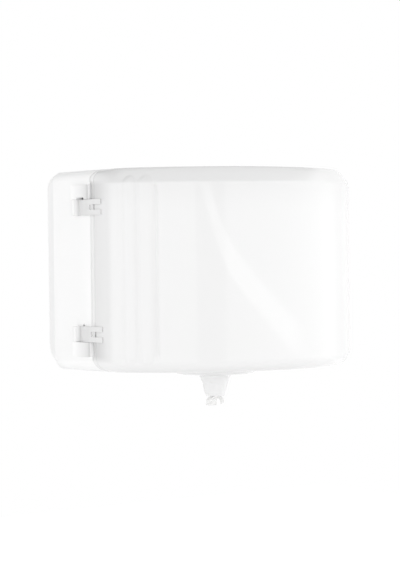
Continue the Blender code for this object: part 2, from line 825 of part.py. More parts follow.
def build_cam_screw():
    tail = lock_centre()[0] - lock_body_length - lock_neck_length
    centre = Vector((tail - clearance, -lock_setback, 0.0))
    profile = (
        (cam_width / 2, -screw_head_height), (cam_width / 2, 0.0), (screw_radius, 0.0),
        (screw_radius, cam_screw_length))
    edit = lay_along_x(rod(profile, small_turned_steps, centre), centre)
    return body_object("cam_screw", edit, steel_material)


clear_scene()
guide_material = make_material("guide", (0.5, 0.5, 0.5), 0.8)
casing_material = make_material("casing_plastic", (0.90, 0.90, 0.89), 0.35)
cover_material = make_material("cover_plastic", (0.86, 0.87, 0.87), 0.22)
clip_material = make_material("clip_plastic", (0.84, 0.85, 0.85), 0.35)
steel_material = make_material("plated_steel", (0.66, 0.67, 0.68), 0.3, 1.0)
paper_material = make_material("tissue_paper", (0.93, 0.93, 0.92), 0.95)

build_rear_casing()
build_shelf()
for number, place in enumerate(shelf_screw_places(), 1):
    build_screw("shelf_screw_%d" % number, place, shelf_screw_length)
build_dish()
for number, place in enumerate(dish_screw_places(), 1):
    build_screw("dish_screw_%d" % number, place, dish_screw_length)
build_nozzle()
build_ring_nut()
build_roll()
build_tail()

cover_pivot = pivot_empty("cover_pivot", (pivot_x, pivot_y, 0.0))
lock_pivot = pivot_empty("lock_pivot", lock_centre())
hang_on(lock_pivot, cover_pivot)
for piece in (build_front_cover(), build_lock_housing(), build_lock_nut()):
    hang_on(piece, cover_pivot)
for hinge_label, hinge_side in (("upper", 1), ("lower", -1)):
    build_hinge_pin(hinge_label, hinge_side)
    hang_on(build_hinge_clip(hinge_label, hinge_side), cover_pivot)
for piece in (build_lock_barrel(), build_cam(), build_cam_screw()):
    hang_on(piece, lock_pivot)
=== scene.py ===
# %% [markdown]
# # A centrefeed roll dispenser in white plastic
# The object hangs on a washroom wall. A deep casing sits against the wall, a bowed cover swings open
# on two fork-shaped clips at the left, and twisted tissue leaves through a nozzle underneath.
# A plain working model is loaded first. This lesson builds the fine surfaces over it in the same
# sizes: rounded skins with a real wall, ribs, clips, turned pieces, wound tissue and their finishes.

# %% Load the working model
import math

import bmesh
import bpy
from mathutils import Matrix, Vector, noise


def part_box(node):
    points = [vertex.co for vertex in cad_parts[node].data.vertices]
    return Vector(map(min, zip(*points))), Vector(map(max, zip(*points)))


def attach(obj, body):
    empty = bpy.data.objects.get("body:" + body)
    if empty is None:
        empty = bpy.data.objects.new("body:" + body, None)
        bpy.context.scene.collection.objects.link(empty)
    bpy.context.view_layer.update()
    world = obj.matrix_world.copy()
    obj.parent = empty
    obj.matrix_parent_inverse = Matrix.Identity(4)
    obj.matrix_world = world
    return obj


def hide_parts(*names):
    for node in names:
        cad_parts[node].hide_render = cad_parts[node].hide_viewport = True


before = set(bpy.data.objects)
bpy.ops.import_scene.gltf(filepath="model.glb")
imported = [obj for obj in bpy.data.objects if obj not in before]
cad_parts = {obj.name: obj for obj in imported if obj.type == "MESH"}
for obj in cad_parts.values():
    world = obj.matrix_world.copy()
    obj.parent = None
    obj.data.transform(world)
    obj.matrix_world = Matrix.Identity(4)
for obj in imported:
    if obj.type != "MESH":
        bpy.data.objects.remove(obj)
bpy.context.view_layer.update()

MM = 0.001
TURN = 2 * math.pi

# %% [markdown]
# ## The viewpoint
# A product photograph like this is taken with a long lens, here from the front left and nearly level.
# The lens and the place below were worked out from how the straight edges run together, so that the
# image comes out with the object's own proportions.

# %% Place the camera
photo_height_px = 570
focal_px = 1953.3
view_turn = math.radians(-36.136)
view_drop = math.radians(0.846)
view_roll = math.radians(-0.756)
camera_place = Vector((-1.0905, -1.5722, 0.0119))

level_ahead = Vector((-math.sin(view_turn), math.cos(view_turn), 0.0))
forward = level_ahead * math.cos(view_drop) - Vector((0.0, 0.0, math.sin(view_drop)))
level_right = Vector((math.cos(view_turn), math.sin(view_turn), 0.0))
level_up = level_right.cross(forward)
right = level_right * math.cos(view_roll) + level_up * math.sin(view_roll)
up = right.cross(forward)

camera_data = bpy.data.cameras.new("photo_camera")
camera_data.lens = focal_px * camera_data.sensor_width / photo_height_px
camera_data.clip_end = 20
camera = bpy.data.objects.new("photo_camera", camera_data)
camera.matrix_world = Matrix.Translation(camera_place) @ Matrix((right, up, -forward)).transposed().to_4x4()
bpy.context.scene.collection.objects.link(camera)
bpy.context.scene.camera = camera
bpy.context.scene.view_settings.view_transform = "Standard"
print("lens %.1f mm at %.2f m from the wall" % (camera_data.lens, -camera_place.y))

# %% [markdown]
# ## Colours, nodes and formulas
# Colours are chosen as the eye reads them, in sRGB hex, while the renderer counts light: one function
# turns the first into the second. Another adds a node and fills or links its inputs. A third turns
# arithmetic that is written as nested tuples, such as ("MULTIPLY", a, ("SUBTRACT", b, 1.0)), into nodes.

# %% Colour and node helpers
def linear(hex_colour):
    """Turns an sRGB hex colour into the linear colour that a shader works with."""
    channels = [int(hex_colour[i:i + 2], 16) / 255 for i in (1, 3, 5)]
    return tuple(c / 12.92 if c <= 0.04045 else ((c + 0.055) / 1.055) ** 2.4 for c in channels) + (1.0,)


def add(tree, kind, inputs=None, **settings):
    """Adds a node with its settings and fills its inputs.

    An input takes a value, a hex colour, a socket, or a node, which stands for its first output in use.
    """
    made = tree.nodes.new(kind)
    for name, value in settings.items():
        setattr(made, name, value)
    for key, value in (inputs or {}).items():
        if isinstance(value, bpy.types.Node):
            value = next(socket for socket in value.outputs if socket.enabled)
        if isinstance(value, str) and value.startswith("#"):
            value = linear(value)
        if isinstance(value, bpy.types.NodeSocket):
            tree.links.new(value, made.inputs[key])
        else:
            made.inputs[key].default_value = value
    return made


def formula(tree, rule):
    """Turns nested tuples of an operation and its terms into nodes; terms are taken from the left."""
    if not isinstance(rule, tuple):
        return rule
    operation, whole, *others = [rule[0]] + [formula(tree, term) for term in rule[1:]]
    for term in others or [0.0]:
        whole = add(tree, "ShaderNodeMath", {0: whole, 1: term}, operation=operation)
    return whole


def window(tree, value, low, high, border):
    """One between two limits and zero outside, with soft borders."""
    rise, fall = (add(tree, "ShaderNodeMapRange", {
        "Value": value, "From Min": edge - reach, "From Max": edge + reach}, interpolation_type="SMOOTHSTEP")
        for edge, reach in ((low, border), (high, -border)))
    return formula(tree, ("MULTIPLY", rise, fall))


def start_material(name):
    """Makes an empty material and returns it with its tree and its object coordinates."""
    material = bpy.data.materials.new(name)
    material.use_nodes = True
    material.node_tree.nodes.clear()
    place = add(material.node_tree, "ShaderNodeTexCoord").outputs["Object"]
    return material, material.node_tree, place


def finish_material(material, inputs):
    """Adds the surface shader and the output to a material."""
    tree = material.node_tree
    add(tree, "ShaderNodeOutputMaterial", {"Surface": add(tree, "ShaderNodeBsdfPrincipled", inputs)})
    print("material:", material.name, len(tree.nodes), "nodes")
    return material


def skin_finish(tree, place, cloud, spread, gloss, grain, strength):
    """Shader inputs for a gloss that drifts with a cloud pattern, and for a relief of grains.

    The gloss is given by its two roughnesses, the grain by its size, its detail and its depth.
    """
    size, detail, depth = grain
    roughness = add(tree, "ShaderNodeMapRange", {
        "Value": cloud, "From Min": 0.5 - spread, "From Max": 0.5 + spread,
        "To Min": gloss[0], "To Max": gloss[1]})
    relief = add(tree, "ShaderNodeTexNoise", {"Vector": place, "Scale": 1 / size, "Detail": detail})
    bump = add(tree, "ShaderNodeBump", {"Height": relief, "Strength": strength, "Distance": depth})
    return {"Roughness": roughness, "Normal": bump}


# %% [markdown]
# ## The white plastics
# Washroom dispensers are injection-moulded in ABS. The casing's mould is fine-blasted, so it comes
# out satin and very white. Painted shade makes it a trace greyer round the rear corners and darkens
# its bosses towards the cover. The clips are moulded in acetal; their tone changes along their depth,
# light on the knuckle, darkest in the groove, which is painted shade, and grey along the plate.
# The cover's mould is polished: the skin is glossy, shows lights as soft bands, and has the long,
# shallow waves called orange peel. Painted shade makes it a little greyer along its rear rim and over
# the top, and a painted shadow makes it darkest beside the bosses. The nozzle is less polished, so it
# shows no bands.

# %% Satin ABS of the casing, acetal of the clips
proud_side = -135 * MM
rear_shade_start = -34 * MM
rear_shade_aside = (100 * MM, 130 * MM)
tone_border = 1 * MM
satin_drift = 60 * MM
blasting_depth = 0.02 * MM


def depth_ramp(tree, value, tones):
    """Colours along a coordinate, from (millimetres, hex colour) pairs."""
    first, last = tones[0][0] * MM, tones[-1][0] * MM
    share = add(tree, "ShaderNodeMapRange", {"Value": value, "From Min": first, "From Max": last})
    ramp = add(tree, "ShaderNodeValToRGB", {"Fac": share})
    elements = ramp.color_ramp.elements
    for number, (place, tone) in enumerate(tones):
        spot = (place * MM - first) / (last - first)
        element = elements[number] if number < 2 else elements.new(spot)
        element.position = spot
        element.color = linear(tone)
    return ramp


def satin_plastic(name, colour, shade_colour, rear_shade_colour, tones, roughness, grain_size):
    """Blasted mould finish: a fine even grain and a faint drift in colour and gloss.

    Painted shade: the rear corners are a trace greyer, and what stands out on the left side changes
    its tone along its depth, darkest towards the cover and in the clips' groove.
    """
    material, tree, place = start_material(name)
    spot = add(tree, "ShaderNodeSeparateXYZ", {"Vector": place}).outputs
    drift = add(tree, "ShaderNodeTexNoise", {"Vector": place, "Scale": 1 / satin_drift, "Detail": 2.0})
    even = add(tree, "ShaderNodeMix", {"Factor": drift, "A": shade_colour, "B": colour}, data_type="RGBA")
    # Painted shade: greyer round the rear corners, and a tone ramp along the depth of what stands proud on
    # the left.
    rear, aside, proud = (add(tree, "ShaderNodeMapRange", {
        "Value": value, "From Min": start, "From Max": end}) for value, start, end in (
            (spot["Y"], rear_shade_start, rear_shade_start + tone_border),
            (formula(tree, ("ABSOLUTE", spot["X"])), *rear_shade_aside),
            (spot["X"], proud_side, proud_side - tone_border)))
    body = add(tree, "ShaderNodeMix", {
        "Factor": formula(tree, ("MULTIPLY", rear, aside)), "A": even, "B": rear_shade_colour}, data_type="RGBA")
    tone = add(tree, "ShaderNodeMix", {
        "Factor": proud, "A": body, "B": depth_ramp(tree, spot["Y"], tones)}, data_type="RGBA")
    return finish_material(material, {"Base Color": tone, "IOR": 1.53, **skin_finish(
        tree, place, drift, 0.2, (roughness - 0.03, roughness + 0.03),
        (grain_size, 3.0, blasting_depth), 0.25)})


# Painted shade: the bosses darken towards the cover; the clips are light on the knuckle, darkest in their
# groove, grey along the plate.
boss_shade_tones = ((-76, "#FAFAFA"), (-90, "#E4E4E4"), (-93.5, "#DCDCDC"), (-95.5, "#C4C4C4"), (-97, "#C4C4C4"))
clip_tones_and_groove_shade = (
    (-70, "#F4F4F4"), (-78.5, "#F2F2F2"), (-79.6, "#F4F4F4"), (-80.3, "#D6D6D6"), (-81.5, "#CBCBCB"),
    (-83.8, "#D2D2D2"), (-85.6, "#DADADA"), (-88, "#DEDEDE"), (-105, "#E0E0E0"), (-114, "#E6E6E6"))
casing_plastic = satin_plastic(
    "moulded_satin_abs", "#F7F7F7", "#F4F4F4", "#F1F1F1", boss_shade_tones, 0.42, 0.9 * MM)
clip_plastic = satin_plastic(
    "moulded_satin_acetal", "#E4E4E4", "#E0E0E0", "#E4E4E4", clip_tones_and_groove_shade, 0.34, 1.2 * MM)

# %% Polished ABS of the cover
top_shade_span = (48 * MM, 80 * MM)
rim_shade_span = (-122 * MM, -97 * MM)
boss_shadow_depth = (-122 * MM, -98 * MM)
boss_shadow_side = (-110 * MM, -125 * MM)
boss_shadow_height = (62 * MM, 79 * MM)
boss_shadow_border = 3 * MM
polish_drift = 45 * MM
orange_peel = (7 * MM, 1.0, 0.03 * MM)


def polished_plastic(name, colour, rim_and_top_shade_colour, boss_shadow_colour, roughness):
    """Polished mould finish: orange peel, slight gloss changes, and painted shade on rim, top and beside the
    bosses.
    """
    material, tree, place = start_material(name)
    spot = add(tree, "ShaderNodeSeparateXYZ", {"Vector": place}).outputs
    # Painted shade: greyer along the rear rim and over the top, and a painted shadow beside the bosses.
    rim, top, beside, left = (add(tree, "ShaderNodeMapRange", {
        "Value": spot[axis], "From Min": limits[0], "From Max": limits[1], "To Max": full},
        interpolation_type=kind) for axis, limits, full, kind in (
            ("Y", rim_shade_span, 1.0, "SMOOTHSTEP"), ("Z", top_shade_span, 0.8, "SMOOTHSTEP"),
            ("Y", boss_shadow_depth, 1.0, "LINEAR"), ("X", boss_shadow_side, 1.0, "LINEAR")))
    base = add(tree, "ShaderNodeMix", {
        "Factor": formula(tree, ("MAXIMUM", rim, top)), "A": colour, "B": rim_and_top_shade_colour}, data_type="RGBA")
    level = window(tree, formula(tree, ("ABSOLUTE", spot["Z"])), *boss_shadow_height, boss_shadow_border)
    tone = add(tree, "ShaderNodeMix", {
        "Factor": formula(tree, ("MULTIPLY", beside, left, level)), "A": base, "B": boss_shadow_colour},
        data_type="RGBA")
    drift = add(tree, "ShaderNodeTexNoise", {"Vector": place, "Scale": 1 / polish_drift, "Detail": 2.0})
    return finish_material(material, {"Base Color": tone, "IOR": 1.54, **skin_finish(
        tree, place, drift, 0.2, (roughness - 0.008, roughness + 0.012), orange_peel, 0.1)})


# The second colour is painted shade on the rear rim and top, the third a painted shadow beside the bosses.
cover_plastic = polished_plastic("moulded_gloss_abs", "#EAEAEA", "#E5E5E5", "#CDCDCD", 0.026)
nozzle_plastic = polished_plastic("turned_gloss_abs", "#ECECEC", "#ECECEC", "#ECECEC", 0.24)

# %% [markdown]
# ## Metal and tissue
# Screws and pins are steel with bright zinc plating, which is slightly cloudy and scatters light
# unevenly. The lock is nickel-plated brass. Tissue is creped: paper pulp scraped off a drum, so it
# has short cross ridges and no gloss. On the roll's ends the edges of the layers show as rings,
# which are drawn far coarser than real layers, because those would be too fine to see.

# %% Zinc and nickel plating
fine_scratches = (0.6 * MM, 2.0, 0.01 * MM)


def plated_metal(name, colour, stain_colour, roughness, cloud_size):
    """Bright plating: clouds in colour and gloss, and fine scratches."""
    material, tree, place = start_material(name)
    cloud = add(tree, "ShaderNodeTexNoise", {"Vector": place, "Scale": 1 / cloud_size, "Detail": 4.0})
    tone = add(tree, "ShaderNodeMix", {"Factor": cloud, "A": colour, "B": stain_colour}, data_type="RGBA")
    return finish_material(material, {"Base Color": tone, "Metallic": 1.0, **skin_finish(
        tree, place, cloud, 0.25, (roughness, roughness + 0.12), fine_scratches, 0.3)})


zinc_plating = plated_metal("zinc_plated_steel", "#C9CBCD", "#B2B4B3", 0.28, 3 * MM)
nickel_plating = plated_metal("nickel_plated_brass", "#D8D6D2", "#CBC8C2", 0.14, 8 * MM)

# %% Creped tissue
outlet_y = -100.7 * MM
crepe_pitch = 1.1 * MM
crepe_depth = 0.25 * MM
layer_pitch = 1.3 * MM
fibre_size = 0.8 * MM
waves_per_scale = 0.314


def creped_tissue(name, along, dark, light, strength):
    """Creped paper: ridges along one coordinate, soft fibres, and rings on the roll's ends."""
    material, tree, place = start_material(name)
    centred = add(tree, "ShaderNodeMapping", {"Vector": place, "Location": (0.0, -outlet_y, 0.0)})
    fibre = add(tree, "ShaderNodeTexNoise", {"Vector": centred, "Scale": 1 / fibre_size, "Detail": 5.0})
    ridge = add(tree, "ShaderNodeTexWave", {
        "Vector": centred, "Scale": waves_per_scale / crepe_pitch, "Distortion": 3.0,
        "Detail": 2.0, "Detail Scale": 1.5}, wave_type="BANDS", bands_direction=along)
    rings = add(tree, "ShaderNodeTexWave", {
        "Vector": centred, "Scale": waves_per_scale / layer_pitch, "Distortion": 1.2,
        "Detail": 1.0}, wave_type="RINGS", rings_direction="Z")
    facing = add(tree, "ShaderNodeSeparateXYZ", {
        "Vector": add(tree, "ShaderNodeNewGeometry").outputs["Normal"]})
    relief = add(tree, "ShaderNodeMix", {
        "Factor": formula(tree, ("ABSOLUTE", facing.outputs["Z"])), "A": ridge.outputs["Fac"],
        "B": rings.outputs["Fac"]}, data_type="FLOAT")
    fuzzy = add(tree, "ShaderNodeMix", {"Factor": 0.45, "A": relief, "B": fibre}, data_type="FLOAT")
    tone = add(tree, "ShaderNodeMix", {"Factor": fuzzy, "A": dark, "B": light}, data_type="RGBA")
    bump = add(tree, "ShaderNodeBump", {"Height": fuzzy, "Strength": strength, "Distance": crepe_depth})
    return finish_material(material, {
        "Base Color": tone, "Roughness": 0.95, "Normal": bump,
        "Specular IOR Level": 0.15, "Sheen Weight": 0.2, "Sheen Roughness": 0.6})


roll_tissue = creped_tissue("wound_creped_tissue", "Z", "#E4E4E2", "#FAFAF8", 0.55)
tail_tissue = creped_tissue("twisted_creped_tissue", "DIAGONAL", "#E8E8E7", "#F3F3F2", 0.06)

# %% [markdown]
# ## How a finished piece is handed over
# Every piece is built as a mesh in its final place. Modifiers such as Solidify and Bevel are then
# turned into plain faces, the piece gets its material and rides on the body of the working model
# that carries it. Where it stands for a part of that model, the plain part is hidden.

# %% Helpers for pieces
def mesh_object(name, edit, material):
    """Puts an edited mesh into the scene as an object at the origin."""
    mesh = bpy.data.meshes.new(name)
    edit.to_mesh(mesh)
    edit.free()
    mesh.materials.append(material)
    item = bpy.data.objects.new(name, mesh)
    bpy.context.scene.collection.objects.link(item)
    return item


def settle(item):
    """Turns an object's modifiers into plain mesh and removes them."""
    seen = item.evaluated_get(bpy.context.evaluated_depsgraph_get())
    mesh = bpy.data.meshes.new_from_object(seen)
    mesh.name = item.name
    item.modifiers.clear()
    item.data = mesh
    return item


def soften(item, width, segments=3, degrees=40):
    """Rounds the sharp edges of a piece as a mould or a tumbler leaves them."""
    bevel = item.modifiers.new("edge_rounding", "BEVEL")
    bevel.width = width
    bevel.segments = segments
    bevel.limit_method = "ANGLE"
    bevel.angle_limit = math.radians(degrees)
    bevel.use_clamp_overlap = True
    return settle(item)


def shade(item, degrees=35, weighted=True, crease=None):
    """Shades smoothly up to an angle and outside a crease, with large flat faces kept flat."""
    item.data.shade_smooth()
    item.data.set_sharp_from_angle(angle=math.radians(degrees))
    if crease:
        spots = item.data.vertices
        for edge in item.data.edges:
            if all(crease(spots[number].co) for number in edge.vertices):
                edge.use_edge_sharp = True
    if weighted:
        flat = item.modifiers.new("flat_faces", "WEIGHTED_NORMAL")
        flat.keep_sharp = True
        flat.weight = 60
        settle(item)
    return item


def cut(item, edit):
    """Cuts away what an edited mesh covers."""
    cutter = mesh_object("cutter", edit, item.data.materials[0])
    step = item.modifiers.new("cut", "BOOLEAN")
    step.operation = "DIFFERENCE"
    step.object = cutter
    settle(item)
    bpy.data.objects.remove(cutter)
    return item


def hand_over(item, body, slot, *stands_for):
    """Ties a finished piece to its body and hides the plain parts it stands for; its slot is not used."""
    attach(item, body)
    if stands_for:
        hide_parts(*stands_for)
    print("piece:", item.name, "on", body, len(item.data.polygons), "faces")


# %% [markdown]
# ## The body's outline
# Seen from above, the body is a D: a flat back with rounded rear corners, straight sides, tighter
# front corners, and one wide arc across the front. Every skin below follows this outline, so it is
# written once. A place is its x and y, the outward direction there, and its length along the bow.

# %% Sizes of the outline
half_width = 134 * MM
half_height = 91 * MM
body_depth = 213 * MM
bow_rise = 81.5 * MM
corner_radius = 35 * MM
rear_radius = 34 * MM
rear_strip = 28 / 90
wall = 3 * MM

bow_radius = (half_width ** 2 + bow_rise ** 2) / (2 * bow_rise)
bow_centre_y = bow_radius - body_depth
corner_x = half_width - corner_radius
corner_y = bow_centre_y - math.sqrt((bow_radius - corner_radius) ** 2 - corner_x ** 2)
corner_sweep = math.atan2(bow_centre_y - corner_y, corner_x)
half_bow = bow_radius * (TURN / 4 - corner_sweep)
print("bow radius %.1f mm, half of the bow %.1f mm long" % (bow_radius / MM, half_bow / MM))


# %% Places on the outline
def on_side(y):
    return half_width, y, 1.0, 0.0, -1.0


def on_arc(centre_x, centre_y, radius, angle, along):
    nx, ny = math.cos(angle), math.sin(angle)
    return centre_x + radius * nx, centre_y + radius * ny, nx, ny, along


def on_corner(share):
    return on_arc(corner_x, corner_y, corner_radius, -corner_sweep * share, -1.0 + share)


def on_bow(length):
    return on_arc(0.0, bow_centre_y, bow_radius, -corner_sweep - length / bow_radius, length / MM)


def on_rear_corner(share):
    return on_arc(half_width - rear_radius, -rear_radius, rear_radius, TURN / 4 * share, -1.0)


def mirrored(place):
    x, y, nx, ny, along = place
    return -x, y, -nx, ny, along


# %% [markdown]
# ## Rounded edges and the parting line
# The top edge of the cover is a tall chamfer that starts with a faint crease, so light breaks along
# it in a straight line. The bottom edge is a plain rounding, and the rear corners are rounded more
# than the rest. Casing and cover meet on a line that runs straight down the side and curls forward
# near the top and the bottom, so each row of a skin starts at its own depth.

# %% Edge sizes
top_in = 9.5 * MM
top_tall_front = 13.5 * MM
top_tall_rear = 9 * MM
top_crease = math.radians(24)
top_corner_extra = 8 * MM
bottom_in = 10.5 * MM
bottom_tall = 11 * MM
bottom_rear = 20 * MM
bottom_corner_extra = 10 * MM
parting_y = -96.3 * MM
parting_gap = 0.35 * MM
curl_top = 10 * MM
curl_bottom = 16 * MM
parting_tries = 6


def eased(value):
    """A soft step from zero to one."""
    value = min(1.0, max(0.0, value))
    return value * value * (3 - 2 * value)


def edge_sizes(y, ny, top):
    """Inward reach and height of the edge at a place, and how far it is a chamfer.

    Halfway round the rear corners the edges are largest. The top edge grows into a chamfer in front
    of the parting line, and the bottom edge is a rounding everywhere, tallest along the back.
    """
    rear_corner = 4 * ny ** 2 * (1 - ny ** 2) if ny > 0 else 0.0
    if top:
        share = eased((parting_y - y) / corner_radius)
        extra = top_corner_extra * rear_corner
        tall = top_tall_rear + (top_tall_front - top_tall_rear) * share
        return top_in + extra, tall + extra, share
    share = eased(ny)
    extra = bottom_corner_extra * rear_corner
    reach = bottom_in + (bottom_rear - bottom_in) * share
    tall = bottom_tall + (bottom_rear - bottom_tall) * share
    return reach + extra, tall + extra, 0.0


def skin_point(place, level):
    """Point of the outer skin at a place of the outline and a level of its height."""
    x, y, nx, ny, _ = place
    kind, value = level
    if kind == "wall":
        low = edge_sizes(y, ny, False)[1] - half_height
        high = half_height - edge_sizes(y, ny, True)[1]
        return Vector((x, y, low + (high - low) * value))
    if kind == "floor":
        return Vector((x - nx * value, y - ny * value, -half_height))
    top = kind == "top"
    reach, tall, chamfer = edge_sizes(y, ny, top)
    angle = TURN / 4 * value
    drawn, rise = reach * (1 - math.cos(angle)), tall * math.sin(angle)
    leaning = 2 * value * (1 - value) * tall * math.tan(top_crease) + value ** 2 * reach
    drawn += (leaning - drawn) * chamfer
    rise += (tall * (1 - (1 - value) ** 2) - rise) * chamfer
    height = half_height - tall + rise
    return Vector((x - nx * drawn, y - ny * drawn, height if top else -height))


def parting_at(z):
    """Depth of the parting line at a height."""
    for curl, over in ((curl_top, z - half_height + curl_top), (curl_bottom, curl_bottom - half_height - z)):
        if over > 0:
            return parting_y - curl + math.sqrt(max(0.0, curl ** 2 - min(over, curl) ** 2))
    return parting_y


def parting_place(level, gap):
    """Place on the side where a level meets the parting line, found in a few tries."""
    y = parting_y
    for _ in range(parting_tries):
        y = parting_at(skin_point(on_side(y), level).z) + gap
    return on_side(y)


# %% [markdown]
# ## The skin as a grid
# A skin is a grid of quads: one row for each level, one column for each place. The first and last
# columns lie on the parting line, so the rim is a clean edge loop that a bevel can round. Solidify
# gives the skin its 3 mm wall. The flat top is one face, because nothing bends there.

# %% Grid builder
rim_rounding = 0.45 * MM


def grid_skin(rows, close_top, close_bottom, along_rows=None):
    """Builds the quads between rows of points, and flat end faces where asked."""
    edit = bmesh.new()
    layer = edit.verts.layers.float.new("along_bow")
    lines = []
    for r, row in enumerate(rows):
        line = [edit.verts.new(point) for point in row]
        if along_rows:
            for vert, along in zip(line, along_rows[r]):
                vert[layer] = along
        lines.append(line)
    for lower, upper in zip(lines, lines[1:]):
        for i in range(len(lower) - 1):
            edit.faces.new((lower[i], lower[i + 1], upper[i + 1], upper[i]))
    if close_top:
        edit.faces.new(lines[-1])
    if close_bottom:
        edit.faces.new(lines[0][::-1])
    return edit


def give_wall(item):
    """Gives a skin its wall and rounds the rim."""
    solid = item.modifiers.new("wall", "SOLIDIFY")
    solid.thickness = wall
    solid.offset = -1
    solid.use_even_offset = True
    return soften(item, rim_rounding, degrees=60)


# %% [markdown]
# ## The front cover
# The cover is the large glossy piece. Its grid is fine across the two ribs at each corner and in the
# rounded edges, and coarse where the surface is plain. Along its rear rim runs a shallow groove, and
# beside the bosses the side is drawn in a little more, which leaves them room.

# %% Cover grid
rib_widths = (12.6 * MM, 13.6 * MM)
rib_valley = 1.8 * MM
panel_groove = (0.6 * MM, 5 * MM)
corner_columns = 14
rib_columns = 14
groove_columns = 8
bow_columns = 44
floor_flange = 15 * MM
rounding_rows = 14
chamfer_rows = 18
side_shares = (0.02, 0.05, 0.08, 0.11, 0.14, 0.17, 0.20, 0.23, 0.27, 0.32, 0.39, 0.47, 0.57, 0.68, 0.8, 0.9)
wall_shares = (
    0.02, 0.04, 0.07, 0.1, 0.13, 0.3, 0.5, 0.7, 0.82, 0.84, 0.86, 0.88, 0.9, 0.93, 0.96, 0.98, 0.994, 1.0)


def rib_spans():
    """Start and end of each rib, along the bow from its corner."""
    start = 0.0
    for width in rib_widths:
        yield start, start + width
        start += width + rib_valley


def cover_half(level):
    """Places of one row, from the right parting line to the middle of the bow."""
    first = parting_place(level, 0.0)
    places = [first] + [on_side(first[1] + (corner_y - first[1]) * share) for share in side_shares]
    places += [on_corner(i / corner_columns) for i in range(corner_columns)]
    spans = list(rib_spans())
    lengths = []
    for start, end in spans:
        lengths += [start + (end - start) * i / rib_columns for i in range(rib_columns + 1)]
        if end < spans[-1][1]:
            lengths += [end + rib_valley / 3, end + rib_valley * 2 / 3]
    near, far = panel_groove
    lengths += [spans[-1][1] + near + (far - near) * i / groove_columns for i in range(groove_columns + 1)]
    last = lengths[-1]
    lengths += [last + (half_bow - last) * i / bow_columns for i in range(1, bow_columns + 1)]
    return places + [on_bow(length) for length in lengths]


levels = [("floor", floor_flange), ("floor", (floor_flange + bottom_in) / 2)]
levels += [("bottom", 1 - i / rounding_rows) for i in range(rounding_rows + 1)]
levels += [("wall", share) for share in wall_shares]
levels += [("top", i / chamfer_rows) for i in range(1, chamfer_rows + 1)]

groove_depth = 0.85 * MM
groove_share = 0.17
groove_spread = 0.055
relief_depth = 1.5 * MM
relief_run = 8 * MM
relief_spans = ((62 * MM, 81 * MM), (-79 * MM, -62 * MM))
relief_border = 3 * MM


def rim_sink(share, point):
    """How far the skin is drawn in near the rim: an even groove, and more beside the bosses."""
    sink = groove_depth * math.exp(-((share - groove_share) / groove_spread) ** 2)
    if point.x < 0:
        near = 1 - eased(share * (parting_y - corner_y) / relief_run)
        for low, high in relief_spans:
            level = eased((point.z - low) / relief_border) * eased((high - point.z) / relief_border)
            sink += relief_depth * near * level
    return sink


cover_rows = []
cover_along = []
for level in levels:
    half = cover_half(level)
    whole = [mirrored(place) for place in half] + half[-2::-1]
    row = []
    for place in whole:
        point = skin_point(place, level)
        if abs(place[2]) == 1.0:
            run = (half[0][1] - place[1]) / (half[0][1] - corner_y)
            point.x -= rim_sink(run, point) * place[2]
        row.append(point)
    cover_rows.append(row)
    cover_along.append([place[4] for place in whole])
cover = mesh_object("front_cover_shell", grid_skin(cover_rows, True, False, cover_along), cover_plastic)
print("cover grid:", len(levels), "rows of", len(cover_rows[0]), "points")

# %% [markdown]
# ## Ribs by rule
# Two upright ribs with slim ends stand at each front corner, and a shallow groove runs beside the
# second. A Geometry Nodes tree raises them from a rule. It reads the length along the bow that was
# stored on each point, and its height, works out the distance to a rib's centre line, turns it into
# a cushion-shaped height, and moves the point outwards by it. Above the crease, where the skin leans
# back, the ribs are filled out so that they stay more upright than the skin. Sizes are inputs, so a
# rib can be widened without a new mesh.

# %% Helpers for trees
def start_tree(name, sockets):
    """Starts a Geometry Nodes tree with named inputs, and returns it with their sockets."""
    tree = bpy.data.node_groups.new(name, "GeometryNodeTree")
    for label, kind in sockets.items():
        tree.interface.new_socket(label, in_out="INPUT", socket_type="NodeSocket" + kind)
    tree.interface.new_socket("Geometry", in_out="OUTPUT", socket_type="NodeSocketGeometry")
    return tree, add(tree, "NodeGroupInput").outputs


def end_tree(tree, geometry, material):
    """Makes copies real, sets the material and ends the tree."""
    real = add(tree, "GeometryNodeRealizeInstances", {"Geometry": geometry})
    dressed = add(tree, "GeometryNodeSetMaterial", {"Geometry": real, "Material": material})
    add(tree, "NodeGroupOutput", {"Geometry": dressed})
    return tree


def run_tree(item, tree, values):
    """Runs a Geometry Nodes tree on an object, with its inputs set by their identifiers."""
    step = item.modifiers.new(tree.name, "NODES")
    step.node_group = tree
    for socket in tree.interface.items_tree:
        if socket.in_out == "INPUT" and socket.name in values:
            step[socket.identifier] = values[socket.name]
    return settle(item)


# %% Rib tree
rib_height = 1.5 * MM
rib_end_height = 84 * MM
rib_end_slimness = 0.8
groove_cut = 1.0 * MM
groove_end_run = 3 * MM
edge_fill = 0.3
cushion_power = 0.9
fill_power = 0.8

rib_sizes = {
    "Rib Height": rib_height, "End Height": rib_end_height, "End Slimness": rib_end_slimness,
    "Edge Height": half_height - top_tall_front, "Edge Slope": edge_fill * math.tan(top_crease),
    "Groove Depth": groove_cut, "Groove Half Width": (panel_groove[1] - panel_groove[0]) / 2}
for number, (start, end) in enumerate(rib_spans(), 1):
    rib_sizes["Centre %d" % number] = (start + end) / 2
    rib_sizes["Half Width %d" % number] = rib_widths[number - 1] / 2
rib_sizes["Groove Centre"] = end + sum(panel_groove) / 2


